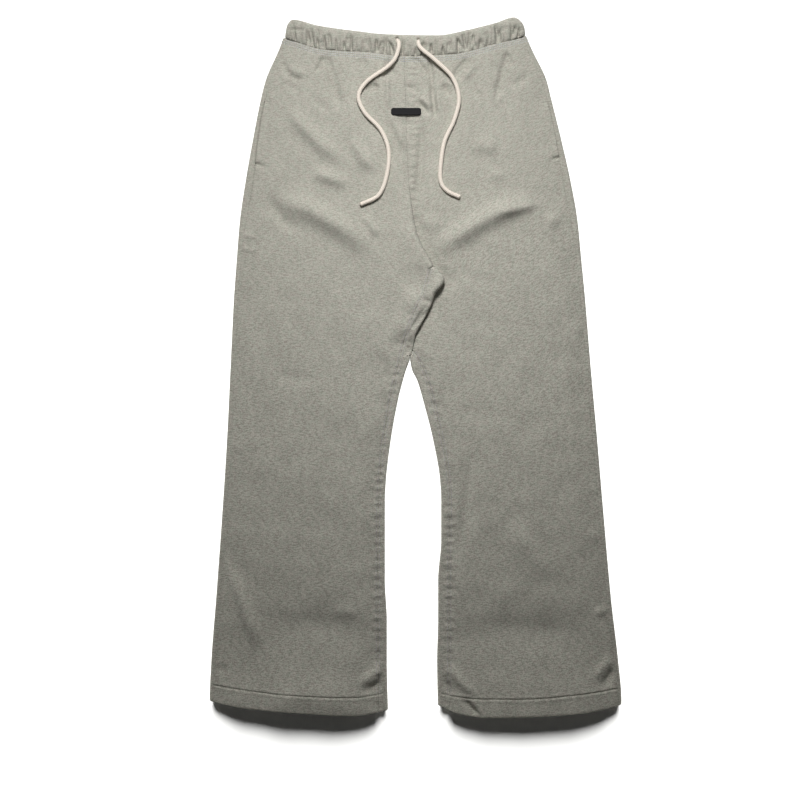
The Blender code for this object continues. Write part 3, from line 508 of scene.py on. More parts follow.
# The left leg's inner edge lies over the right leg, from the centre seam down to the crotch. It stands up
# there, highest at its corner, and presses the right leg down. The ends are places of y from the top down.
LIFT = 8.6
LIFT_REACH = 30.0
LIFT_ENDS = (300.0, 165.0, 92.0, 10.0)
TIP = (42.0, 119.0)
TIP_LIFT = 7.0
TIP_REACH = 21.0
OVERLAP_WALL = 3.6
PRESS_DEPTH = 4.0
PRESS_REACH = 16.0
PRESS_ENDS = (300.0, 200.0, 60.0, 0.0)
TUCK = 7.0                    # how far the right panel reaches in under the left one
TUCK_ENDS = (74, 96)
# Mesh: places of the columns beside a seam, then columns in the middle; rows as spans of y and their count.
COLUMN_PLACES = (0, 0.45, 0.9, 1.4, 2.0, 2.6, 3.2, 4.0, 5.0, 6.4, 8.2, 10.4, 13.0, 16.0)
COLUMN_STEPS = 88
COLUMN_CROWDING = 1.2         # above 1 the columns stand closer together towards the middle of the garment
ROW_SPANS = (
    (WAIST_Y, WAIST_Y - 9, 13),
    (WAIST_Y - 9, 160, 160),
    (160, 20, 64),
    (CROTCH_JOIN_Y + 0.04, CROTCH_JOIN_Y, 2),
    (CROTCH_JOIN_Y, HEM_STITCH_Y + 8, 142),
    (HEM_STITCH_Y + 8, HEM_STITCH_Y - 6, 25),
    (HEM_STITCH_Y - 6, HEM_Y + 2.4, 11),
)
HEM_TURN_ROWS = 7
EDGE_ROLL = 5.0               # width of the rolled edge where the left leg lies over the right
EDGE_CLEARANCE = 0.5


def ease(start, end, value):
    """0 before start and 1 after end, with a smooth rise between; start may be the higher one."""
    t = np.clip((value - start) / (end - start), 0, 1)
    return t * t * (3 - 2 * t)


def row_y(level, x):
    """Rows follow the waist seam, then run level, and follow the hem's stitch line and its edge."""
    at_waist = ease(WAIST_Y - WAIST_ROWS_REACH, WAIST_Y, level) * (waist_seam(x) - SEAM_GAP / 2 - WAIST_Y)
    at_hem = ease(HEM_STITCH_Y + HEM_ROWS_REACH, HEM_STITCH_Y, level) * (hem_line(x) - HEM_STITCH_Y)
    lower = np.clip((HEM_STITCH_Y - level) / (HEM_STITCH_Y - HEM_Y), 0, 1)
    return level + at_waist + at_hem * (1 - lower) + lower * (hem_edge(x) - HEM_Y)


def row_x(level, edge):
    """Where rows meet an edge given as x over y."""
    x = edge(level)
    for _ in range(4):
        x = edge(row_y(level, x))
    return x


def bell(distance, width):
    """1 at a line and next to nothing beyond twice the width from it."""
    return np.exp(-((distance / width) ** 2))


def creased(folds, x, y):
    """Soft ridges and troughs along bowed lines."""
    total = np.zeros(np.shape(x))
    for start_x, start_y, end_x, end_y, bow, width, rise in folds:
        dx, dy = end_x - start_x, end_y - start_y
        length = math.hypot(dx, dy)
        along = ((x - start_x) * dx + (y - start_y) * dy) / length**2
        aside = ((y - start_y) * dx - (x - start_x) * dy) / length - bow * 4 * along * (1 - along)
        fade = ease(*FOLD_STARTS, along) * ease(*FOLD_ENDS, along)
        total += rise * fade * bell(FOLD_SHARPNESS * aside, width)
    return total


chance = np.random.default_rng(11)
WAVE_COUNT = 26
WAVE_LENGTHS = np.exp(chance.uniform(math.log(17), math.log(130), WAVE_COUNT))
WAVE_TURNS = chance.uniform(0, math.pi, WAVE_COUNT)
WAVE_STARTS = chance.uniform(0, math.tau, WAVE_COUNT)
WAVE_SLOPE = 0.0023        # height of a wave for each millimetre of its length


def relaxed(x, y):
    """Slight waves of cloth that has been smoothed by hand."""
    total = np.zeros(np.shape(x))
    for length, turn, start in zip(WAVE_LENGTHS, WAVE_TURNS, WAVE_STARTS):
        run = (x * math.cos(turn) + y * math.sin(turn)) / length
        total += WAVE_SLOPE * length * np.sin(math.tau * run + start)
    return total


def puckered(distance, y, strength):
    """Little cross ridges that a twin-needle seam draws up beside itself."""
    drifts = [far * np.sin(math.tau * y / length) for far, length in PUCKER_DRIFTS]
    wave = np.sin(math.tau * y / PUCKER_STEP + drifts[0] + drifts[1])
    wave = wave + SMALL_PUCKERS[0] * np.sin(math.tau * y / (SMALL_PUCKERS[1] * PUCKER_STEP) + 2)
    return PUCKER_HEIGHT * strength(y) * wave * bell(distance, PUCKER_REACH)


def random_gathers():
    """Small gathers of the waist, each with its own depth, lean and length above and below the seam."""
    x = GATHER_SPAN[0]
    while x < GATHER_SPAN[1]:
        yield Gather(
            x=x,
            depth=chance.uniform(0.5, 2.6),
            width=chance.uniform(1.6, 3.2),
            up=chance.uniform(0.3, 0.95),
            lean=chance.uniform(-4, 4),
            below=chance.uniform(6, 22),
        )
        x += chance.uniform(*GATHER_GAPS)


GATHERS = tuple(random_gathers())


def gathered(x, above, height, narrow=1.0):
    """Valleys of the gathers at a height above the waist seam, or below it where that is negative."""
    total = np.zeros(np.broadcast(x, above).shape)
    for gather in GATHERS:
        up = above / height
        aside = x - gather.x - gather.lean * up
        wide = narrow * gather.width * (1 + GATHER_FLARE * np.abs(up))
        over_seam = ease(gather.up + GATHER_FADE[0], gather.up + GATHER_FADE[1], up)
        fade = np.where(above > 0, over_seam, GATHER_BELOW * np.exp(above / gather.below))
        total -= gather.depth * np.exp(-np.abs(aside / wide) ** GATHER_SHAPE) * fade
    return total


def edge_height(y):
    """Height of the folded sides, which stand higher at the hems."""
    rise = ease(*HEM_RISE_ENDS, y)
    return LAID_HEIGHT + (HEM_EDGE_HEIGHT - LAID_HEIGHT) * rise


def seam_dip(distance):
    """Cloth turns down into a seam, and a furrow runs along the stitches beside it."""
    furrow = NEEDLE_DIP * bell(distance - NEEDLE_STEP, NEEDLE_WIDTH)
    return SEAM_DIP * bell(distance, SEAM_DIP_WIDTH) + furrow


def side_seam_dip(distance, y, side):
    """The side seam opens along the pocket mouth, shows for a hand below it and is pressed flat elsewhere."""
    foot = MOUTH_FEET[side > 0]
    opens, open_from, closes = MOUTH_FADES
    mouth = ease(foot + opens, foot + open_from, y) * ease(MOUTH_TOP, MOUTH_TOP - closes, y)
    end, start = SEAM_SHOWS[side > 0]
    top_fade = ease(MOUTH_TOP + SEAM_TOP_FADE[0], MOUTH_TOP + SEAM_TOP_FADE[1], y)
    shown = PRESSED_SEAM + (1 - PRESSED_SEAM) * ease(foot + end, foot + start, y) * top_fade
    seam = SEAM_DIP * shown * bell(distance, SEAM_DIP_WIDTH)
    return seam + MOUTH_DEPTHS[side > 0] * mouth * bell(distance, MOUTH_WIDTH)


def laid_height(x, y, side):
    """Height of the front's face, side -1 for the left leg and 1 for the right."""
    if side < 0:
        inner, outer, inseam, puckers = inner_left(y), outer_left(y), left_inseam(y), left_puckers
    else:
        inner, outer, inseam, puckers = inner_right(y), outer_right(y), right_inseam(y), right_puckers
    across = np.clip((x - inner) / (outer - inner), 0, 1)
    opening = 1 - np.abs(2 * across - 1) ** GAPE_SQUARENESS
    gape = (HEM_MIDDLE_HEIGHT - HEM_EDGE_HEIGHT) * ease(*GAPE_ENDS, y) * opening
    from_outer = np.minimum(x - outer_left(y), outer_right(y) - x)
    near_fold = np.minimum(from_outer, np.abs(x - inner) + np.maximum(y - CROTCH_GAP_Y, 0))
    folds = creased(MAIN_FOLDS + SMALL_FOLDS, x, y) + relaxed(x, y)
    below_waist = np.maximum(waist_seam(x) - y, 0)
    folds = folds + gathered(x, -below_waist, CASING_HEIGHT)
    folds = folds * ease(*FOLD_MARGIN, near_fold)
    folds = folds + puckered(x - inseam, y, puckers)
    from_stitches = y - hem_line(x)
    ledge = sum(rise * bell(from_stitches - place, width) for rise, place, width in HEM_LEDGES)
    groove = -ledge + HEM_GROOVE * bell(from_stitches, HEM_GROOVE_WIDTH)
    rows = sum(NEEDLE_DIP * bell(below_waist - row, WAIST_ROW_WIDTH) for row in WAIST_ROWS)
    billow = (BILLOW + LEG_BILLOW * ease(*LEG_BILLOW_ENDS, y)) * ease(FOLD_MARGIN[0], BILLOW_REACH, near_fold)
    at_seam = SEAM_DIP * bell(below_waist, SEAM_DIP_WIDTH)
    height = edge_height(y) + gape + billow + folds - groove - at_seam - rows
    edge = np.where(y > OVERLAP_TOP_Y, centre_seam(y), overlap_edge(y))
    if side < 0:
        top, full, lower, end = LIFT_ENDS
        along = np.where(y > full, ease(top, full, y), ease(end, lower, y))
        tip = TIP_LIFT * np.exp(-(((x - TIP[0]) / TIP_REACH) ** 2) - ((y - TIP[1]) / TIP_REACH) ** 2)
        lift = LIFT * along * bell(np.maximum(edge - x, 0), LIFT_REACH)
        return np.maximum(height, LOWEST_FRONT) + tip + lift
    top, full, lower, end = PRESS_ENDS
    press = ease(end, lower, y) * ease(top, full, y) * bell(x - edge, PRESS_REACH)
    return np.maximum(height - PRESS_DEPTH * press, LOWEST_FRONT)


def nose(distance, half):
    """How far a rounded edge has fallen at a distance from it, where the wall is 2 half thick."""
    return half - np.sqrt(np.maximum(half**2 - (half - np.clip(distance, 0, half)) ** 2, 0))


# Rows are closer at the waist seam and the hem's stitches, and end round the hem's turned edge.
hem_turn = HEM_Y + HEM_WALL / 2 * (1 - np.sin(np.linspace(0, math.pi / 2, HEM_TURN_ROWS)))
LEVELS = np.concatenate([np.linspace(*span)[:-1] for span in ROW_SPANS] + [hem_turn])


def wall_thickness(levels):
    return WALL + (HEM_WALL - WALL) * ease(HEM_STITCH_Y + 0.5, HEM_STITCH_Y - 2, levels)


def wall(name, outer, inner, uv, flip, here=None):
    """A closed wall from grids of points on its outer and inner face."""
    rows, columns = outer.shape[:2]
    here = np.ones((rows, columns), bool) if here is None else here
    number = np.arange(rows * columns).reshape(rows, columns)
    quads = np.stack([number[:-1, :-1], number[1:, :-1], number[1:, 1:], number[:-1, 1:]], axis=-1)
    whole = here[:-1, :-1] & here[1:, :-1] & here[1:, 1:] & here[:-1, 1:]
    quads = quads[whole]
    if flip:
        quads = quads[:, ::-1]
    count = rows * columns
    starts, ends = quads.ravel(), np.roll(quads, -1, axis=1).ravel()
    lone = ~np.isin(starts * count + ends, ends * count + starts)
    starts, ends = starts[lone], ends[lone]
    rim = np.stack([ends, starts, starts + count, ends + count], axis=-1)
    faces = np.concatenate([quads, quads[:, ::-1] + count, rim])
    used, renamed = np.unique(faces, return_inverse=True)
    points = np.concatenate([outer.reshape(-1, 3), inner.reshape(-1, 3)])[used]
    places = np.concatenate([uv.reshape(-1, 2)] * 2)[used]
    return mesh_from(name, points, [renamed.reshape(-1, 4)], places)


def panel_columns(start, end):
    """Places across a panel, close together along both seams."""
    near = np.array(COLUMN_PLACES)
    middle = np.linspace(0, 1, COLUMN_STEPS + 1)[1:-1] ** COLUMN_CROWDING
    side = np.sign(end - start)[:, None]
    first = start[:, None] + side * near
    last = end[:, None] - side * near[::-1]
    between = first[:, -1:] + (last[:, :1] - first[:, -1:]) * middle
    return np.concatenate([first, between, last], axis=1)


# Heathered fleece: a knit of light and dark fibres mixed before spinning, brushed inside. On the face they
# show as pale and dark streaks along the courses, with finer flecks among them, in faintly rose and green
# patches. Single stitches of half a millimetre are too fine for the picture, so the finest grain is 0.7 mm.
FLEECE = "#A3A197"
FLEECE_LIGHT = "#C2C0B5"
FLEECE_DARK = "#838178"
FLEECE_ROSE = "#AC9F95"
FLEECE_MOSS = "#9BA391"
STREAK = (7.5, 1.8)        # length and height in millimetres
FLECK = (2.3, 1.3)
STREAK_SHARE = 0.9
FLECK_SHARE = 1.15
CLOUD = 26.0
CLOUD_SHARE = 0.2
HEATHER_SPAN = (0.83, 1.42)
HEATHER_CALM = (-0.45, 0.3, 1.3, 0.72)  # from y to y in metres, the contrast goes from this to that
MELANGE = 7.0
MELANGE_SHARE = 0.27
FIBRE = 0.7
GRAIN_RIGHT = 0.42         # lean of the courses on either leg
GRAIN_LEFT = -0.06
GRAIN_TURN = 60            # from the middle of the garment the courses take up their lean over this
GRAIN_ENDS = (-300, 300)   # and from y to y
HUE_SPAN = (0.3, 0.7)
FIBRE_RELIEF = 0.0003      # in metres
LATTICE_TURN = 0.6
fleece, tree, shader = new_finish("heathered_fleece", FLEECE, roughness=0.95)
place = add_node(tree, "ShaderNodeUVMap", uv_map="cloth")
grains = []
for long, high in (STREAK, FLECK):
    # Turned after it is stretched, so the noise's own lattice doesn't line up down the leg.
    laid = add_node(tree, "ShaderNodeMapping", (
        ("Vector", place), ("Rotation", (0, 0, LATTICE_TURN)),
        ("Scale", (1 / (long * MM), 1 / (high * MM), 1)),
    ))
    grains.append(add_node(tree, "ShaderNodeTexNoise", (
        ("Vector", laid), ("Scale", 1.0), ("Detail", 1.0),
    ), noise_dimensions="2D"))
cloud = add_node(tree, "ShaderNodeTexNoise", (
    ("Vector", place), ("Scale", 1 / (CLOUD * MM)), ("Detail", 2.0),
), noise_dimensions="2D")
blend = add_node(tree, "ShaderNodeMath", ((0, grains[0]), (1, STREAK_SHARE)), operation="MULTIPLY")
blend = add_node(tree, "ShaderNodeMath", (
    (0, grains[1]), (1, FLECK_SHARE), (2, blend),
), operation="MULTIPLY_ADD")
blend = add_node(tree, "ShaderNodeMath", ((0, cloud), (1, CLOUD_SHARE), (2, blend)), operation="MULTIPLY_ADD")
span = zip(("From Min", "From Max"), HEATHER_SPAN)
amount = add_node(tree, "ShaderNodeMapRange", (("Value", blend), *span))
run_down = add_node(tree, "ShaderNodeSeparateXYZ", (("Vector", place),))
calm = zip(("From Min", "From Max", "To Min", "To Max"), HEATHER_CALM)
relief = add_node(tree, "ShaderNodeMapRange", (("Value", run_down.outputs[1]), *calm))
centred = add_node(tree, "ShaderNodeMath", ((0, amount), (1, 0.5)), operation="SUBTRACT")
amount = add_node(tree, "ShaderNodeMath", (
    (0, centred), (1, relief), (2, 0.5),
), operation="MULTIPLY_ADD", use_clamp=True)
colour_mix = add_node(tree, "ShaderNodeMix", (
    (0, amount), (6, linear(FLEECE_DARK)), (7, linear(FLEECE_LIGHT)),
), data_type="RGBA")
patch = add_node(tree, "ShaderNodeTexNoise", (
    ("Vector", place), ("Scale", 1 / (MELANGE * MM)), ("Detail", 2.0),
), noise_dimensions="2D")
span = zip(("From Min", "From Max"), HUE_SPAN)
hue = add_node(tree, "ShaderNodeMapRange", (("Value", patch), *span))
tint = add_node(tree, "ShaderNodeMix", (
    (0, hue), (6, linear(FLEECE_ROSE)), (7, linear(FLEECE_MOSS)),
), data_type="RGBA")
tinted = add_node(tree, "ShaderNodeMix", (
    (0, MELANGE_SHARE), (6, colour_mix.outputs[2]), (7, tint.outputs[2]),
), data_type="RGBA")
tree.links.new(tinted.outputs[2], shader.inputs["Base Color"])
fibre = add_node(tree, "ShaderNodeTexNoise", (
    ("Vector", place), ("Scale", 1 / (FIBRE * MM)), ("Detail", 3.0),
), noise_dimensions="2D")
add_relief(tree, shader, fibre, FIBRE_RELIEF, strength=0.8)
shader.inputs["Sheen Weight"].default_value = 0.12
shader.inputs["Sheen Roughness"].default_value = 0.6


def left_front_edge(y):
    return np.where(y > OVERLAP_TOP_Y - 1, centre_seam(y), left_inseam(y))


def right_front_edge(y):
    """Centre seam, then a line tucked under the left leg, then the right inseam."""
    tucked = overlap_edge(y) + SEAM_GAP - TUCK * ease(*TUCK_ENDS, y)
    below = np.where(y > RIGHT_INSEAM_TOP_Y, tucked, right_inseam(y))
    return np.where(y > OVERLAP_TOP_Y - 1, centre_seam(y), below)


def grain(x, y):
    """The courses of the knit climb outwards on the right leg's upper part and sink a little on the left."""
    from_middle = x - centre_seam(np.maximum(y, OVERLAP_TOP_Y))
    lean = np.where(from_middle > 0, GRAIN_RIGHT * ease(0, GRAIN_TURN, from_middle), GRAIN_LEFT)
    return y - from_middle * lean * ease(*GRAIN_ENDS, y)


def finish_piece(name, mesh, replaced):
    mesh.materials.append(fleece)
    made = put_in_scene(name, mesh)
    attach(made, "root")
    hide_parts(*replaced)
    return made


def make_front(name, side, inner_edge, side_edge):
    start = row_x(LEVELS, inner_edge) + side * SEAM_GAP / 2
    end = row_x(LEVELS, lambda y: side_edge(y) - side * seam_inset(y)) - side * SEAM_GAP / 2
    x = panel_columns(start, end)
    level = LEVELS[:, None]
    y = row_y(level, x)
    z = laid_height(x, y, side)
    from_inner = np.abs(x - start[:, None])
    from_side = np.abs(x - end[:, None])
    z = z - seam_dip(from_inner) - side_seam_dip(from_side, y, side)
    if side < 0:
        edge_y = row_y(LEVELS, start)
        step = np.maximum(laid_height(start, edge_y, -1) - laid_height(start, edge_y, 1) - EDGE_CLEARANCE, 0)
        step = np.where(edge_y > OVERLAP_TOP_Y - 1, step, 0)
        z = z - step[:, None] * nose(from_inner, EDGE_ROLL) / EDGE_ROLL
    thick = wall_thickness(level)
    fall = nose(level - HEM_Y, HEM_WALL / 2)
    outer = np.stack([x, y, z - fall], axis=-1)
    inner = np.stack([x, y, z - thick + fall], axis=-1)
    uv = np.stack([x, grain(x, y)], axis=-1)
    return wall(name, outer, inner, uv, side < 0)


left_mesh = make_front("front_left_panel", -1, left_front_edge, outer_left)
right_mesh = make_front("front_right_panel", 1, right_front_edge, outer_right)
left_front = finish_piece("front_left_panel", left_mesh, ["front_left"])
right_front = finish_piece("front_right_panel", right_mesh, ["front_right"])
# The folded sides lie on the table, so only the raised fronts hold the table's lamp off.
raised_pieces = bpy.data.collections.new("table_lamp_blockers")
for made in (left_front, right_front):
    raised_pieces.objects.link(made)
table_lamp.light_linking.blocker_collection = raised_pieces
# Lighting flags inside the leg mouths, hidden from the camera, carry the shadow on to the hems' corners.
FLAG_SPANS = ((-45.5, -62), (-300, -312.5), (38, 58), (300, 313))
FLAG_HEIGHTS = (1, 13)
FLAG_INSET = 4
for span in FLAG_SPANS:
    low, high = FLAG_HEIGHTS
    flag_mesh = bpy.data.meshes.new("flag")
    around = ((span[0], low), (span[1], low), (span[1], high), (span[0], high))
    corners = [(x * MM, (hem_edge(x) + FLAG_INSET) * MM, z * MM) for x, z in around]
    flag_mesh.from_pydata(corners, [], [(0, 1, 2, 3)])
    flag = put_in_scene("flag", flag_mesh)
    flag.visible_camera = False
    flag.data.materials.append(table_finish)
    flag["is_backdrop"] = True
    raised_pieces.objects.link(flag)

# ---------------------------------------------------------------------------------------------
# Back leg panels
# The same fleece, cut wider than the fronts, so they wrap round both folded sides of each leg and come
# up to the seams on top. At the crotch the left one's inner edge lies on the right leg.
STRIP_STEPS = 13
ROLL_STEPS = 12
UNDERSIDE_STEPS = 14
SETTLE_Y = 26              # above this the two backs meet flat along the back seam
TONGUE_CLEARANCE = 0.3     # between the overlap and the right leg's front under it
TONGUE_EDGE = 0.02         # its cut edge ends this thin
REACH_UNDER = (0.6, 1.6)   # from the overlap's edge out to the crotch, and back under it below
REACH_UNDER_ENDS = (SETTLE_Y, 21)
back_seam = through(((CROTCH_GAP_Y, -8.5), (WAIST_Y, -16)))


def side_roll(edge, side, height, wall_depth):
    """Half turns round a side fold, from the top side to the underside."""
    turn = np.linspace(0, math.pi, ROLL_STEPS + 1)
    radius = (height / 2)[:, None]
    middle = edge[:, None] - side * radius
    reach = radius - wall_depth[:, None]
    outer = middle + side * radius * np.sin(turn), radius + radius * np.cos(turn)
    inner = middle + side * reach * np.sin(turn), radius + reach * np.cos(turn)
    return outer, inner


def make_back(name, side, outer_edge, inner_edge, inseam, overlap_top, overlap_start):
    levels, level = LEVELS, LEVELS[:, None]
    depth = wall_thickness(levels)
    fall = nose(levels - HEM_Y, HEM_WALL / 2)[:, None]

    def strip(start, end, thick):
        x = start[:, None] + (end - start)[:, None] * np.linspace(0, 1, STRIP_STEPS + 1)
        z = laid_height(x, row_y(level, x), side)
        return x, z, z - thick[:, None]

    # From the side seam on top, over the outer fold.
    seam = row_x(levels, lambda y: outer_edge(y) - side * seam_inset(y)) + side * SEAM_GAP / 2
    edge = row_x(levels, outer_edge)
    height = edge_height(row_y(levels, edge))
    turn, turn_in = side_roll(edge, side, height, depth)
    top_x, top_z, _ = (part[:, :-1] for part in strip(seam, turn[0][:, 0], depth))
    top_z = top_z - side_seam_dip(np.abs(top_x - seam[:, None]), level, side)
    # Along the table to the inner fold, or above the crotch to the back seam.
    parted = levels <= CROTCH_JOIN_Y
    inner_x = row_x(levels, inner_edge)
    far, far_in = side_roll(inner_x, -side, edge_height(row_y(levels, inner_x)), depth)
    settle = ease(CROTCH_JOIN_Y, SETTLE_Y, levels)
    from_seam = LAID_HEIGHT / 2 * (1 - settle) + SEAM_GAP / 2 * settle
    floor_end = np.where(parted, far[0][:, -1], back_seam(levels) + side * from_seam)
    parts = np.linspace(0, 1, UNDERSIDE_STEPS + 1)[1:]
    floor_x = turn[0][:, -1:] + (floor_end - turn[0][:, -1])[:, None] * parts
    far_x, far_z = far[0][:, -2::-1], far[1][:, -2::-1]
    far_in_x, far_in_z = far_in[0][:, -2::-1], far_in[1][:, -2::-1]
    # On top again, from the inner fold to the inseam; above the crotch this is the cut edge of the overlap.
    inseam_x = np.where(parted, row_x(levels, inseam), inseam(levels))
    inseam_x = np.where(levels > OVERLAP_TOP_Y - 1, centre_seam(levels), inseam_x) - side * SEAM_GAP / 2
    start_x = np.where(parted, far[0][:, 0], overlap_start(levels))
    tongue_wall = np.where(parted, depth, OVERLAP_WALL)
    last_x, last_z, last_in = strip(start_x, inseam_x, tongue_wall)
    drop = seam_dip(np.abs(last_x - inseam_x[:, None]))
    on_other = (~parted)[:, None]
    if side < 0:
        under = laid_height(last_x, row_y(level, last_x), 1) + TONGUE_CLEARANCE
        last_in = np.where(on_other, np.minimum(under, last_z - WALL), last_in)
    half_edge = np.maximum((last_z - last_in)[:, :1] / 2, WALL / 2)
    curl = np.where(on_other, nose(np.abs(last_x - start_x[:, None]), half_edge), 0)
    last_z, last_in = last_z - drop - curl, last_in + curl
    last_x, last_z, last_in = last_x[:, 1:], last_z[:, 1:], last_in[:, 1:]
    edge_z = laid_height(start_x, row_y(levels, start_x), side) - half_edge[:, 0]
    far_x[:, -1] = np.where(parted, far[0][:, 0], start_x)
    far_z[:, -1] = np.where(parted, far[1][:, 0], edge_z)
    far_in_x[:, -1] = np.where(parted, far_in[0][:, 0], start_x)
    far_in_z[:, -1] = np.where(parted, far_in[1][:, 0], edge_z - TONGUE_EDGE)
    # All of it as one sheet, with its edge rounded at the hem and the parts that aren't there left out.
    zero = np.zeros_like(floor_x)
    outer_x = np.concatenate([top_x, turn[0], floor_x, far_x, last_x], axis=1)
    outer_z = np.concatenate([top_z, turn[1], zero, far_z, last_z], axis=1)
    inner_all_x = np.concatenate([top_x, turn_in[0], floor_x, far_in_x, last_x], axis=1)
    thick = depth[:, None]
    inner_all_z = np.concatenate([top_z - thick, turn_in[1], zero + thick, far_in_z, last_in], axis=1)
    half = (outer_z + inner_all_z) / 2
    close = 1 - fall / (HEM_WALL / 2)

    def rounded_off(x, z, other_x):
        """A face of the wall, drawn towards the other one round the hem's turned edge."""
        near = other_x + (x - other_x) * (1 + close) / 2
        return np.stack([near, row_y(level, x), half + (z - half) * close], axis=-1)

    outer = rounded_off(outer_x, outer_z, inner_all_x)
    inner = rounded_off(inner_all_x, inner_all_z, outer_x)
    here = np.ones(outer_x.shape, bool)
    first_far = top_x.shape[1] + turn[0].shape[1] + floor_x.shape[1]
    last_far = first_far + far_x.shape[1] - 1
    here[~parted, first_far:last_far] = False
    tongue = parted | (levels <= overlap_top)
    here[~tongue, last_far:] = False
    # The cloth's map runs on from the front panel at either seam, over the folds and under the leg.
    steps = np.linalg.norm(np.diff(outer, axis=1), axis=2)
    run = np.concatenate([np.zeros((len(levels), 1)), np.cumsum(steps, axis=1)], axis=1)
    column = np.arange(outer_x.shape[1])
    near = [column < first_far, column < last_far]
    ends = [outer_x[:, :1], outer_x[:, last_far, None]]
    from_ends = [ends[0] + side * run, ends[1] - side * (run[:, last_far, None] - run)]
    across = np.select(near, from_ends, outer_x)
    along_from = np.select(near, ends, outer_x)
    uv = np.stack([across, grain(along_from, outer[..., 1])], axis=-1)
    return wall(name, outer, inner, uv, side < 0, here)


def right_back_edge(y):
    """The right panel reaches in under the left one's edge, to close the gap at the foot of the overlap."""
    return overlap_edge(y) + REACH_UNDER[0] - REACH_UNDER[1] * ease(*REACH_UNDER_ENDS, y)


left_mesh = make_back(
    "back_left_panel", -1, outer_left, inner_left, left_inseam, OVERLAP_TOP_Y + 1, overlap_edge,
)
right_mesh = make_back(
    "back_right_panel", 1, outer_right, inner_right, right_inseam, RIGHT_INSEAM_TOP_Y, right_back_edge,
)
finish_piece("back_left_panel", left_mesh, ["back_left"])
finish_piece("back_right_panel", right_mesh, ["back_right"])

# ---------------------------------------------------------------------------------------------
# Waistband
# A strip of the same fleece sewn into a tube round wide elastic and the drawcord. The elastic draws it
# into small uneven gathers, deepest along the seam, and it lies flat with its mouth closed.
casing_top = through((
    (-200, 525), (-188, 532.5), (-150, 523.5), (-98, 516), (-40, 510), (32, 508.5), (87, 518.5), (124, 528),
    (151, 536), (168, 525),
))
# How far up, then the depth of the front and of the back there and the strength of the gathers, as shares.
CASING_PROFILE = (
    (0.0, 0.36, 1.0, 0.3), (0.05, 0.52, 1.0, 0.8), (0.13, 0.68, 1.0, 1.0), (0.3, 0.86, 1.0, 1.0),
    (0.5, 0.94, 1.0, 0.8), (0.68, 1.0, 1.0, 0.6), (0.86, 0.92, 0.95, 0.45), (0.96, 0.7, 0.8, 0.3),
    (1.0, 0.36, 0.4, 0.0),
)
CASING_SPLIT = 5.0
CASING_FRONT = 10.0
CASING_BACK = 4.7
CASING_MOUTH = 0.3
CASING_ROLL = 7.0
CASING_LEFT = (-202.2, -197.5)
CASING_RIGHT = (170.2, 166.5)
CASING_UPS = 30
CASING_CROWDING = 1.25     # above 1 the rings stand closer together at the top fold
CASING_INSIDE = (0.95, 0.6, 0.3, 0.0)  # rings of the closed mouth inside it
LOWEST_CASING = 0.8
GATHER_HEIGHT = 4.2
GATHER_NARROWING = 0.6
TOP_RIPPLE = 1.7           # the top fold's edge follows the gathers
MEAN_VALLEY = 0.4          # keeps the ripple's middle on the measured edge
ABOVE_SEAM = 0.01          # puts the lowest ring above the seam, where the gathers are the casing's
BACK_RAISE = 0.4           # the casing's back starts this much higher than its front
BAND_FOLDS_START = 0.06    # folds begin above the seam, from this share of the height
BAND_WAVES = (0.5, 1.7)    # the cloth's waves on the casing: share of their height, and how much closer
BAND_LIFT = 0.5
BAND_FRONT_STEPS = 456
BAND_BACK_STEPS = 90
BAND_END_STEPS = 18
# The deepest creases, placed one by one.
BAND_FOLDS = (
    (-199, 517, -166, 517, 0, 3.6, -2), (-166.7, 517, -161, 493, 0, 3.9, -5.8),
    (-150, 520, -149, 503, 0, 3, -2.4), (-147, 502, -141, 486, 0, 7, -3.4),
    (-133.5, 513, -130, 492, 0, 3.2, -4.4), (-105, 508, -104.4, 492, 0, 3.3, -3.8),
    (-79, 504, -71, 488, 0, 4.6, -2.4), (-59.5, 504, -60.5, 478, 0, 3.4, -6.2),
    (-51.5, 500, -58, 478, 0, 3.4, -5.8), (-49, 502, -48.5, 478, 0, 3, -4.2),
    (-42.5, 501, -33, 478, 1, 3.6, -6.2), (10, 498, 19, 486, 0, 6, -2.6),
    (23.7, 496, 23.9, 480, 0, 3.3, -5.9), (51, 498, 54, 484, 0, 4.5, -3),
    (64.5, 503, 74, 484, 0, 3.6, -5.9), (72.5, 514, 79.5, 482, -1, 3.6, -6.8),
    (89.5, 512, 86, 492, 0, 3.6, -3.6), (92, 497, 92.5, 488, 0, 3.3, -3.6),
    (101, 502, 102.5, 491, 0, 3.6, -3.5), (106, 513, 112, 504, 0, 5, -2),
    (122, 527, 125.4, 494, 1, 3.9, -7.8), (131, 522, 138, 514, 0, 5, -2.6),
    (154, 524, 149.5, 506, 0, 3.9, -5.5),
)
EYELETS = ((-28.4, 503.4), (4.3, 501.8))
EYELET_RADIUS = 2.4
EYELET_DEPTH = 5.0
front_profile, back_profile, gather_profile = (
    through((row[0], row[i]) for row in CASING_PROFILE) for i in (1, 2, 3)
)


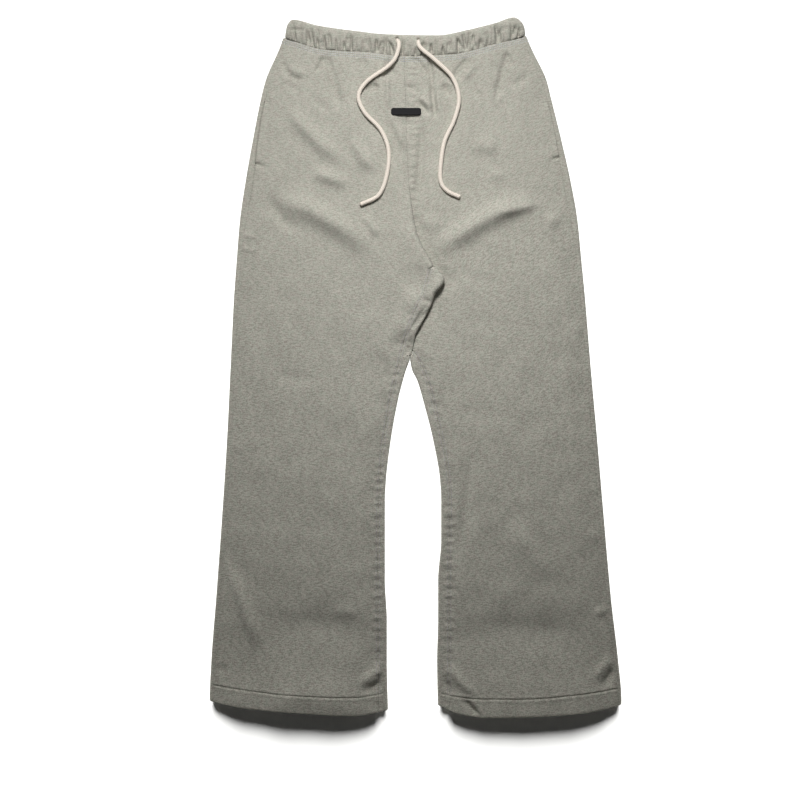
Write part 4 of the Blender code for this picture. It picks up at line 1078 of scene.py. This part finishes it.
def make_waistband():
    front = np.linspace(0, 1, BAND_FRONT_STEPS, endpoint=False)
    ends = np.linspace(0, math.pi, BAND_END_STEPS, endpoint=False)
    back = np.linspace(1, 0, BAND_BACK_STEPS, endpoint=False)
    turn = np.concatenate([0 * front, ends, 0 * back + math.pi, ends + math.pi])[:, None]
    t = np.concatenate([front, 0 * ends + 1, back, 0 * ends])[:, None]
    up = np.concatenate([1 - (1 - np.linspace(0, 1, CASING_UPS)) ** CASING_CROWDING, CASING_INSIDE])
    inside = np.arange(len(up)) >= CASING_UPS
    to_back = 0.5 - 0.5 * np.cos(turn)
    depth = CASING_FRONT * front_profile(up) * (1 - to_back) + CASING_BACK * back_profile(up) * to_back
    side_depth = (CASING_ROLL - CASING_MOUTH) * (front_profile(up) + back_profile(up)) / 2
    depth = depth + (side_depth - depth) * np.sin(turn) ** 2
    reach = np.where(inside, CASING_MOUTH, CASING_MOUTH + depth)
    left = CASING_LEFT[0] + (CASING_LEFT[1] - CASING_LEFT[0]) * up + CASING_ROLL
    right = CASING_RIGHT[0] + (CASING_RIGHT[1] - CASING_RIGHT[0]) * up - CASING_ROLL
    x = left + (right - left) * t + reach * np.sin(turn)
    seam = waist_seam(x) + SEAM_GAP / 2 + BACK_RAISE * to_back
    valleys = gathered(x, up * CASING_HEIGHT + ABOVE_SEAM, CASING_HEIGHT, GATHER_NARROWING)
    y = seam + (casing_top(x) + TOP_RIPPLE * (valleys + MEAN_VALLEY) * up**2 * (1 - to_back) - seam) * up
    z = CASING_SPLIT + reach * np.cos(turn)
    folds = creased(BAND_FOLDS, x, y) * ease(0, BAND_FOLDS_START, up)
    creases = GATHER_HEIGHT * valleys * gather_profile(up) + folds
    share, closer = BAND_WAVES
    creases = creases + share * relaxed(closer * x, closer * y) + BAND_LIFT
    for hole_x, hole_y in EYELETS:
        creases = creases - EYELET_DEPTH * np.exp(-((np.hypot(x - hole_x, y - hole_y) / EYELET_RADIUS) ** 4))
    z = np.maximum(z + np.where(inside | (turn > 0) & (to_back > 0.5), 0, creases * (1 - to_back)), 0)
    lowest = CASING_SPLIT + CASING_MOUTH + LOWEST_CASING
    z = np.where(inside | (to_back >= 0.5), z, np.maximum(z, lowest))
    points = np.stack([x, y, z], axis=-1)
    count, around = points.shape[:2]
    number = np.arange(count * around).reshape(count, around)
    beside, above = np.roll(number, -1, axis=0), np.roll(number, -1, axis=1)
    faces = np.stack([number, beside, np.roll(beside, -1, axis=1), above], axis=-1).reshape(-1, 4)
    run = np.where(np.cos(turn) >= 0, x, -x)
    uv = np.stack([run, y], axis=-1).reshape(-1, 2)
    return mesh_from("waistband_casing", points.reshape(-1, 3), [faces], uv)


finish_piece("waistband_casing", make_waistband(), ["waistband"])

# ---------------------------------------------------------------------------------------------
# Pocket mouths
# The pockets hang inside the side seams. Their front edge is the panel's own fleece, turned in once, so
# it stands a little thicker along the slit and blends into the panel.
LIP_WIDTH = 13.0
LIP_RISE = 1.3
LIP_ROLL = 1.4
LIP_STEPS = 14
LIP_ROWS = 60
LIP_TOP = 410.0
LIP_CROWDING = 1.6
LIP_GAP = 0.35             # from the seam
LIP_FADES = (-1, 7, 1, 12) # places above the foot and about the top where it rises from the panel
LIP_SLOPE = 1.5
LIP_EDGE_FALL = 0.9
LIP_DIVE = 0.6             # how deep its far edge and its ends sink into the panel
LIP_DIVE_FROM = 0.7        # share of its width
LIP_OVER = 0.2             # its face above the panel's, where it doesn't rise or dive
LIP_UNDER = 0.1
LIP_THINNEST = 0.03


def make_lip(name, side, side_edge, replaced):
    foot = MOUTH_FEET[side > 0]
    y = np.linspace(foot, LIP_TOP, LIP_ROWS + 1)[:, None]
    across = np.linspace(0, 1, LIP_STEPS + 1) ** LIP_CROWDING
    seam = side_edge(y) - side * (seam_inset(y) + SEAM_GAP / 2 + LIP_GAP)
    x = seam - side * LIP_WIDTH * across
    y = y + 0 * x
    under = laid_height(x, y, side)
    start, full, end, lower = LIP_FADES
    ends = ease(foot + start, foot + full, y) * ease(LIP_TOP + end, LIP_TOP - lower, y)
    edge_fall = LIP_EDGE_FALL * nose(np.abs(x - seam), LIP_ROLL) / LIP_ROLL
    rise = LIP_RISE * ends * (1 - across) ** LIP_SLOPE - edge_fall * ends
    dive = LIP_DIVE * ease(LIP_DIVE_FROM, 1, across) + LIP_DIVE * (1 - ends)
    outer = np.stack([x, y, under + LIP_OVER + np.maximum(rise, 0) - dive], axis=-1)
    dip = side_seam_dip(np.abs(x - seam) + LIP_GAP, y, side)
    inner = np.stack([x, y, under - dip - LIP_UNDER - dive], axis=-1)
    inner[..., 2] = np.minimum(inner[..., 2], outer[..., 2] - LIP_THINNEST)
    uv = np.stack([x, grain(x, y)], axis=-1)
    mesh = wall(name, outer, inner, uv, side > 0)
    finish_piece(name, mesh, [replaced])


make_lip("pocket_lip_left", -1, outer_left, "pocket_edge_left")
make_lip("pocket_lip_right", 1, outer_right, "pocket_edge_right")

# ---------------------------------------------------------------------------------------------
# Bare label bar
# A small matt bar of moulded rubber, sewn flat over the centre seam below the waist. It is bare.
BAR_LENGTH = 46.0
BAR_WIDTH = 10.8
BAR_THICKNESS = 1.5
BAR_CORNER = 3.2
BAR_PLACE = (-14.6, 391.7)
BAR_CORNER_STEPS = 8
BAR_ROOT = 0.9             # its foot reaches this far into the cloth
BAR_CLEARANCE = 0.05
BAR_PROBES = (24, 9)       # places along and across where the cloth under it is measured
# Rings from the foot up over the rounded edge, as inset and share of the thickness.
BAR_RINGS = (
    (0.0, 0.0), (0.0, 0.55), (0.12, 0.8), (0.35, 0.95), (0.75, 1.0), (1.3, 0.99), (1.55, 0.9), (1.9, 0.9),
)
BAR_SHARP = 50             # edges turn sharper than this stay sharp, in degrees
PIT_SCALE = 2200.0         # grain of the mould, in pits to the metre
PIT_RELIEF = 0.00008
RUBBER_BLACK = "#151517"

# Moulded rubber: near-black and matt, with the fine grain of its mould.
rubber, tree, shader = new_finish("moulded_rubber", RUBBER_BLACK, roughness=0.75)
shader.inputs["Specular IOR Level"].default_value = 0.25
place = add_node(tree, "ShaderNodeTexCoord")
pits = add_node(tree, "ShaderNodeTexNoise", (
    ("Vector", place.outputs["Object"]), ("Scale", PIT_SCALE), ("Detail", 2.0),
))
add_relief(tree, shader, pits, PIT_RELIEF, strength=0.5)


def make_label_bar():
    quarter = np.linspace(0, math.pi / 2, BAR_CORNER_STEPS + 1)
    turn = np.concatenate([quarter + i * math.pi / 2 for i in range(4)])
    corner_x = np.repeat((1, -1, -1, 1), len(quarter)) * (BAR_LENGTH / 2 - BAR_CORNER)
    corner_y = np.repeat((1, 1, -1, -1), len(quarter)) * (BAR_WIDTH / 2 - BAR_CORNER)
    along, across = (np.linspace(-0.5, 0.5, count) for count in BAR_PROBES)
    grid_x, grid_y = np.meshgrid(along * BAR_LENGTH, across * BAR_WIDTH)
    grid_x, grid_y = grid_x + BAR_PLACE[0], grid_y + BAR_PLACE[1]
    left, right = (laid_height(grid_x, grid_y, side) for side in (-1, 1))
    seat = np.max(np.where(grid_x < centre_seam(grid_y), left, right)) + BAR_CLEARANCE
    points = []
    for inset, up in BAR_RINGS:
        reach = BAR_CORNER - inset
        x = BAR_PLACE[0] + corner_x + reach * np.cos(turn)
        y = BAR_PLACE[1] + corner_y + reach * np.sin(turn)
        points.append(np.stack([x, y, seat - BAR_ROOT * (up == 0) + 0 * x + BAR_THICKNESS * up], axis=-1))
    number, sides = ring_faces(len(points), len(turn))
    mesh = mesh_from("label_bar_bare", np.concatenate(points), [sides, number[-1:], number[:1, ::-1]])
    mesh.set_sharp_from_angle(angle=math.radians(BAR_SHARP))
    mesh.materials.append(rubber)
    bar = put_in_scene("label_bar_bare", mesh)
    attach(bar, "root")
    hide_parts("label_bar")


make_label_bar()

# ---------------------------------------------------------------------------------------------
# Stitching
# Spun polyester thread. Three cover-stitch rows hold the casing, twin rows run beside the inseams and the
# centre seam, one row holds the turned hems, and bar tacks close the pocket mouths.
THREAD = 0.9               # thread with its loose fibres
INSEAM_THREAD = 0.7
FINE_THREAD = 0.6
STITCH_LONG = 3.0
STITCH_STEP = 3.5
STITCH_PULL = (0.82, 1.05) # stitches differ in length between these shares
CASING_SINK = 0.45         # how deep the thread lies in the cloth
SEAM_SINK = 0.4
HEM_SINK = 0.55
TACK_SINK = 0.5
CASING_ROW_ENDS = (-205, 172)
CASING_ROW_POINTS = 260
SEAM_POINT_STEP = 2
INSEAM_TOPS = (148, 22)
INSEAM_FOOT = -502
CENTRE_TOP = 474
CENTRE_FEET = (310, 162)
HEM_ROW_ENDS = ((-312, -46), (38.5, 312))
HEM_ROW_POINTS = 150
# Bar tacks run from just beyond the seam, close below either end of a pocket mouth, and slant down a little.
TACK_LENGTH = 9
TACK_POINTS = 9
TACK_START = -0.5
TACK_BELOW = 1.2
TACK_SLANT = 2.0
HAIR_SCALE = 1800.0        # in hairs to the metre
HAIR_RELIEF = 0.0001
THREAD_PALE = "#BBBFC6"
THREAD_MAUVE = "#A09AA6"
THREAD_FLEECE = "#A8A69C"


def spun_thread(name, shade):
    """Spun polyester: matt and a little hairy, so it scatters light softly."""
    material, tree, shader = new_finish(name, shade, roughness=0.85)
    place = add_node(tree, "ShaderNodeTexCoord")
    hairs = add_node(tree, "ShaderNodeTexNoise", (
        ("Vector", place.outputs["Object"]), ("Scale", HAIR_SCALE), ("Detail", 2.0),
    ))
    add_relief(tree, shader, hairs, HAIR_RELIEF, strength=0.5)
    shader.inputs["Sheen Weight"].default_value = 0.15
    return material


pale_thread = spun_thread("spun_thread_pale", THREAD_PALE)
mauve_thread = spun_thread("spun_thread_mauve", THREAD_MAUVE)
fleece_thread = spun_thread("spun_thread_fleece", THREAD_FLEECE)

stitching = bpy.data.node_groups.new("stitches", "GeometryNodeTree")
sewn = stitching.interface
needle_inputs = []
for name, kind in (
    ("Rows", "Geometry"), ("Length", "Float"), ("Step", "Float"), ("Thickness", "Float"),
    ("Thread", "Material"),
):
    needle_inputs.append(sewn.new_socket(name, in_out="INPUT", socket_type="NodeSocket" + kind).identifier)
sewn.new_socket("Stitches", in_out="OUTPUT", socket_type="NodeSocketGeometry")
given = add_node(stitching, "NodeGroupInput")
lines = add_node(stitching, "GeometryNodeMeshToCurve", (("Mesh", given.outputs["Rows"]),))
holes = add_node(stitching, "GeometryNodeCurveToPoints", (
    ("Curve", lines), ("Length", given.outputs["Step"]),
), mode="LENGTH")
pull = add_node(stitching, "FunctionNodeRandomValue", (
    (2, STITCH_PULL[0]), (3, STITCH_PULL[1]), ("Seed", 5),
), data_type="FLOAT")
long = add_node(stitching, "ShaderNodeMath", (
    (0, given.outputs["Length"]), (1, pull.outputs[1]),
), operation="MULTIPLY")
across = given.outputs["Thickness"]
size = add_node(stitching, "ShaderNodeCombineXYZ", (("X", across), ("Y", across), ("Z", long)))
loop = add_node(stitching, "GeometryNodeMeshUVSphere", (("Segments", 6), ("Rings", 4), ("Radius", 0.5)))
laid = add_node(stitching, "GeometryNodeInstanceOnPoints", (
    ("Points", holes), ("Instance", loop), ("Rotation", holes.outputs["Rotation"]), ("Scale", size),
))
real = add_node(stitching, "GeometryNodeRealizeInstances", ((0, laid),))
soft = add_node(stitching, "GeometryNodeSetShadeSmooth", ((0, real),))
dressed = add_node(stitching, "GeometryNodeSetMaterial", (
    ("Geometry", soft), ("Material", given.outputs["Thread"]),
))
add_node(stitching, "NodeGroupOutput", (("Stitches", dressed),))


def sew(name, rows, thread, length=STITCH_LONG, step=STITCH_STEP, thickness=THREAD):
    """Stitches along rows of points in millimetres, as one plain mesh."""
    lines = bpy.data.meshes.new(name + "_rows")
    starts = np.cumsum([0] + [len(row) for row in rows])
    edges = [(i, i + 1) for start, row in zip(starts, rows) for i in range(start, start + len(row) - 1)]
    lines.from_pydata([tuple(point) for point in np.concatenate(rows) * MM], edges, [])
    guide = put_in_scene(name + "_guide", lines)
    needle = guide.modifiers.new("stitches", "NODES")
    needle.node_group = stitching
    for given, value in zip(needle_inputs[1:], (length * MM, step * MM, thickness * MM, thread)):
        needle[given] = value
    graph = bpy.context.evaluated_depsgraph_get()
    mesh = bpy.data.meshes.new_from_object(guide.evaluated_get(graph))
    bpy.data.objects.remove(guide, do_unlink=True)
    mesh.name = name
    made = put_in_scene(name, mesh)
    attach(made, "root")


def on_front(x, y, side, sunk):
    """Points of a row on a front panel, with the thread sunk into the cloth by so much."""
    z = laid_height(x, y, side)
    return np.stack([x, y, z + THREAD / 2 - sunk], axis=-1)


def beside_seam(seam, away, top, foot, side):
    y = np.linspace(top, foot, round((top - foot) / SEAM_POINT_STEP))
    return on_front(seam(y) + away, y, side, NEEDLE_DIP + SEAM_SINK)


waist_x = np.linspace(*CASING_ROW_ENDS, CASING_ROW_POINTS)
casing_rows = []
for below in WAIST_ROWS:
    row_line = waist_seam(waist_x) - below
    for side in (-1, 1):
        here = (waist_x - centre_seam(row_line)) * side > 0
        casing_rows.append(on_front(waist_x[here], row_line[here], side, CASING_SINK))
sew("casing_stitches", casing_rows, pale_thread)

inseam_rows = [
    beside_seam(seam, away, top, INSEAM_FOOT, side)
    for seam, top, side in zip((left_inseam, right_inseam), INSEAM_TOPS, (-1, 1))
    for away in (-NEEDLE_STEP, NEEDLE_STEP)
]
sew("inseam_stitches", inseam_rows, mauve_thread, thickness=INSEAM_THREAD)

centre_rows = [
    beside_seam(centre_seam, side * NEEDLE_STEP, CENTRE_TOP, foot, side)
    for side, foot in zip((-1, 1), CENTRE_FEET)
]
sew("centre_stitches", centre_rows, fleece_thread, thickness=FINE_THREAD)

hem_rows = []
for side, ends in zip((-1, 1), HEM_ROW_ENDS):
    hem_x = np.linspace(*ends, HEM_ROW_POINTS)
    hem_rows.append(on_front(hem_x, hem_line(hem_x), side, HEM_SINK))
sew("hem_stitches", hem_rows, fleece_thread, thickness=FINE_THREAD)

tack_rows = []
for side, edge in ((-1, outer_left), (1, outer_right)):
    for level in (MOUTH_FEET[side > 0], LIP_TOP):
        share = np.linspace(0, 1, TACK_POINTS)
        seam_x = edge(level) - side * seam_inset(level)
        x = seam_x - side * (share * TACK_LENGTH + TACK_START)
        tack_rows.append(on_front(x, level - TACK_BELOW - TACK_SLANT * share + 0 * x, side, TACK_SINK))
sew("bar_tacks", tack_rows, fleece_thread, length=1.1, step=0.7, thickness=1.3)

# ---------------------------------------------------------------------------------------------
size = {"cad": [list(corner) for corner in cad_box], "visual": [list(corner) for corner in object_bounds()]}
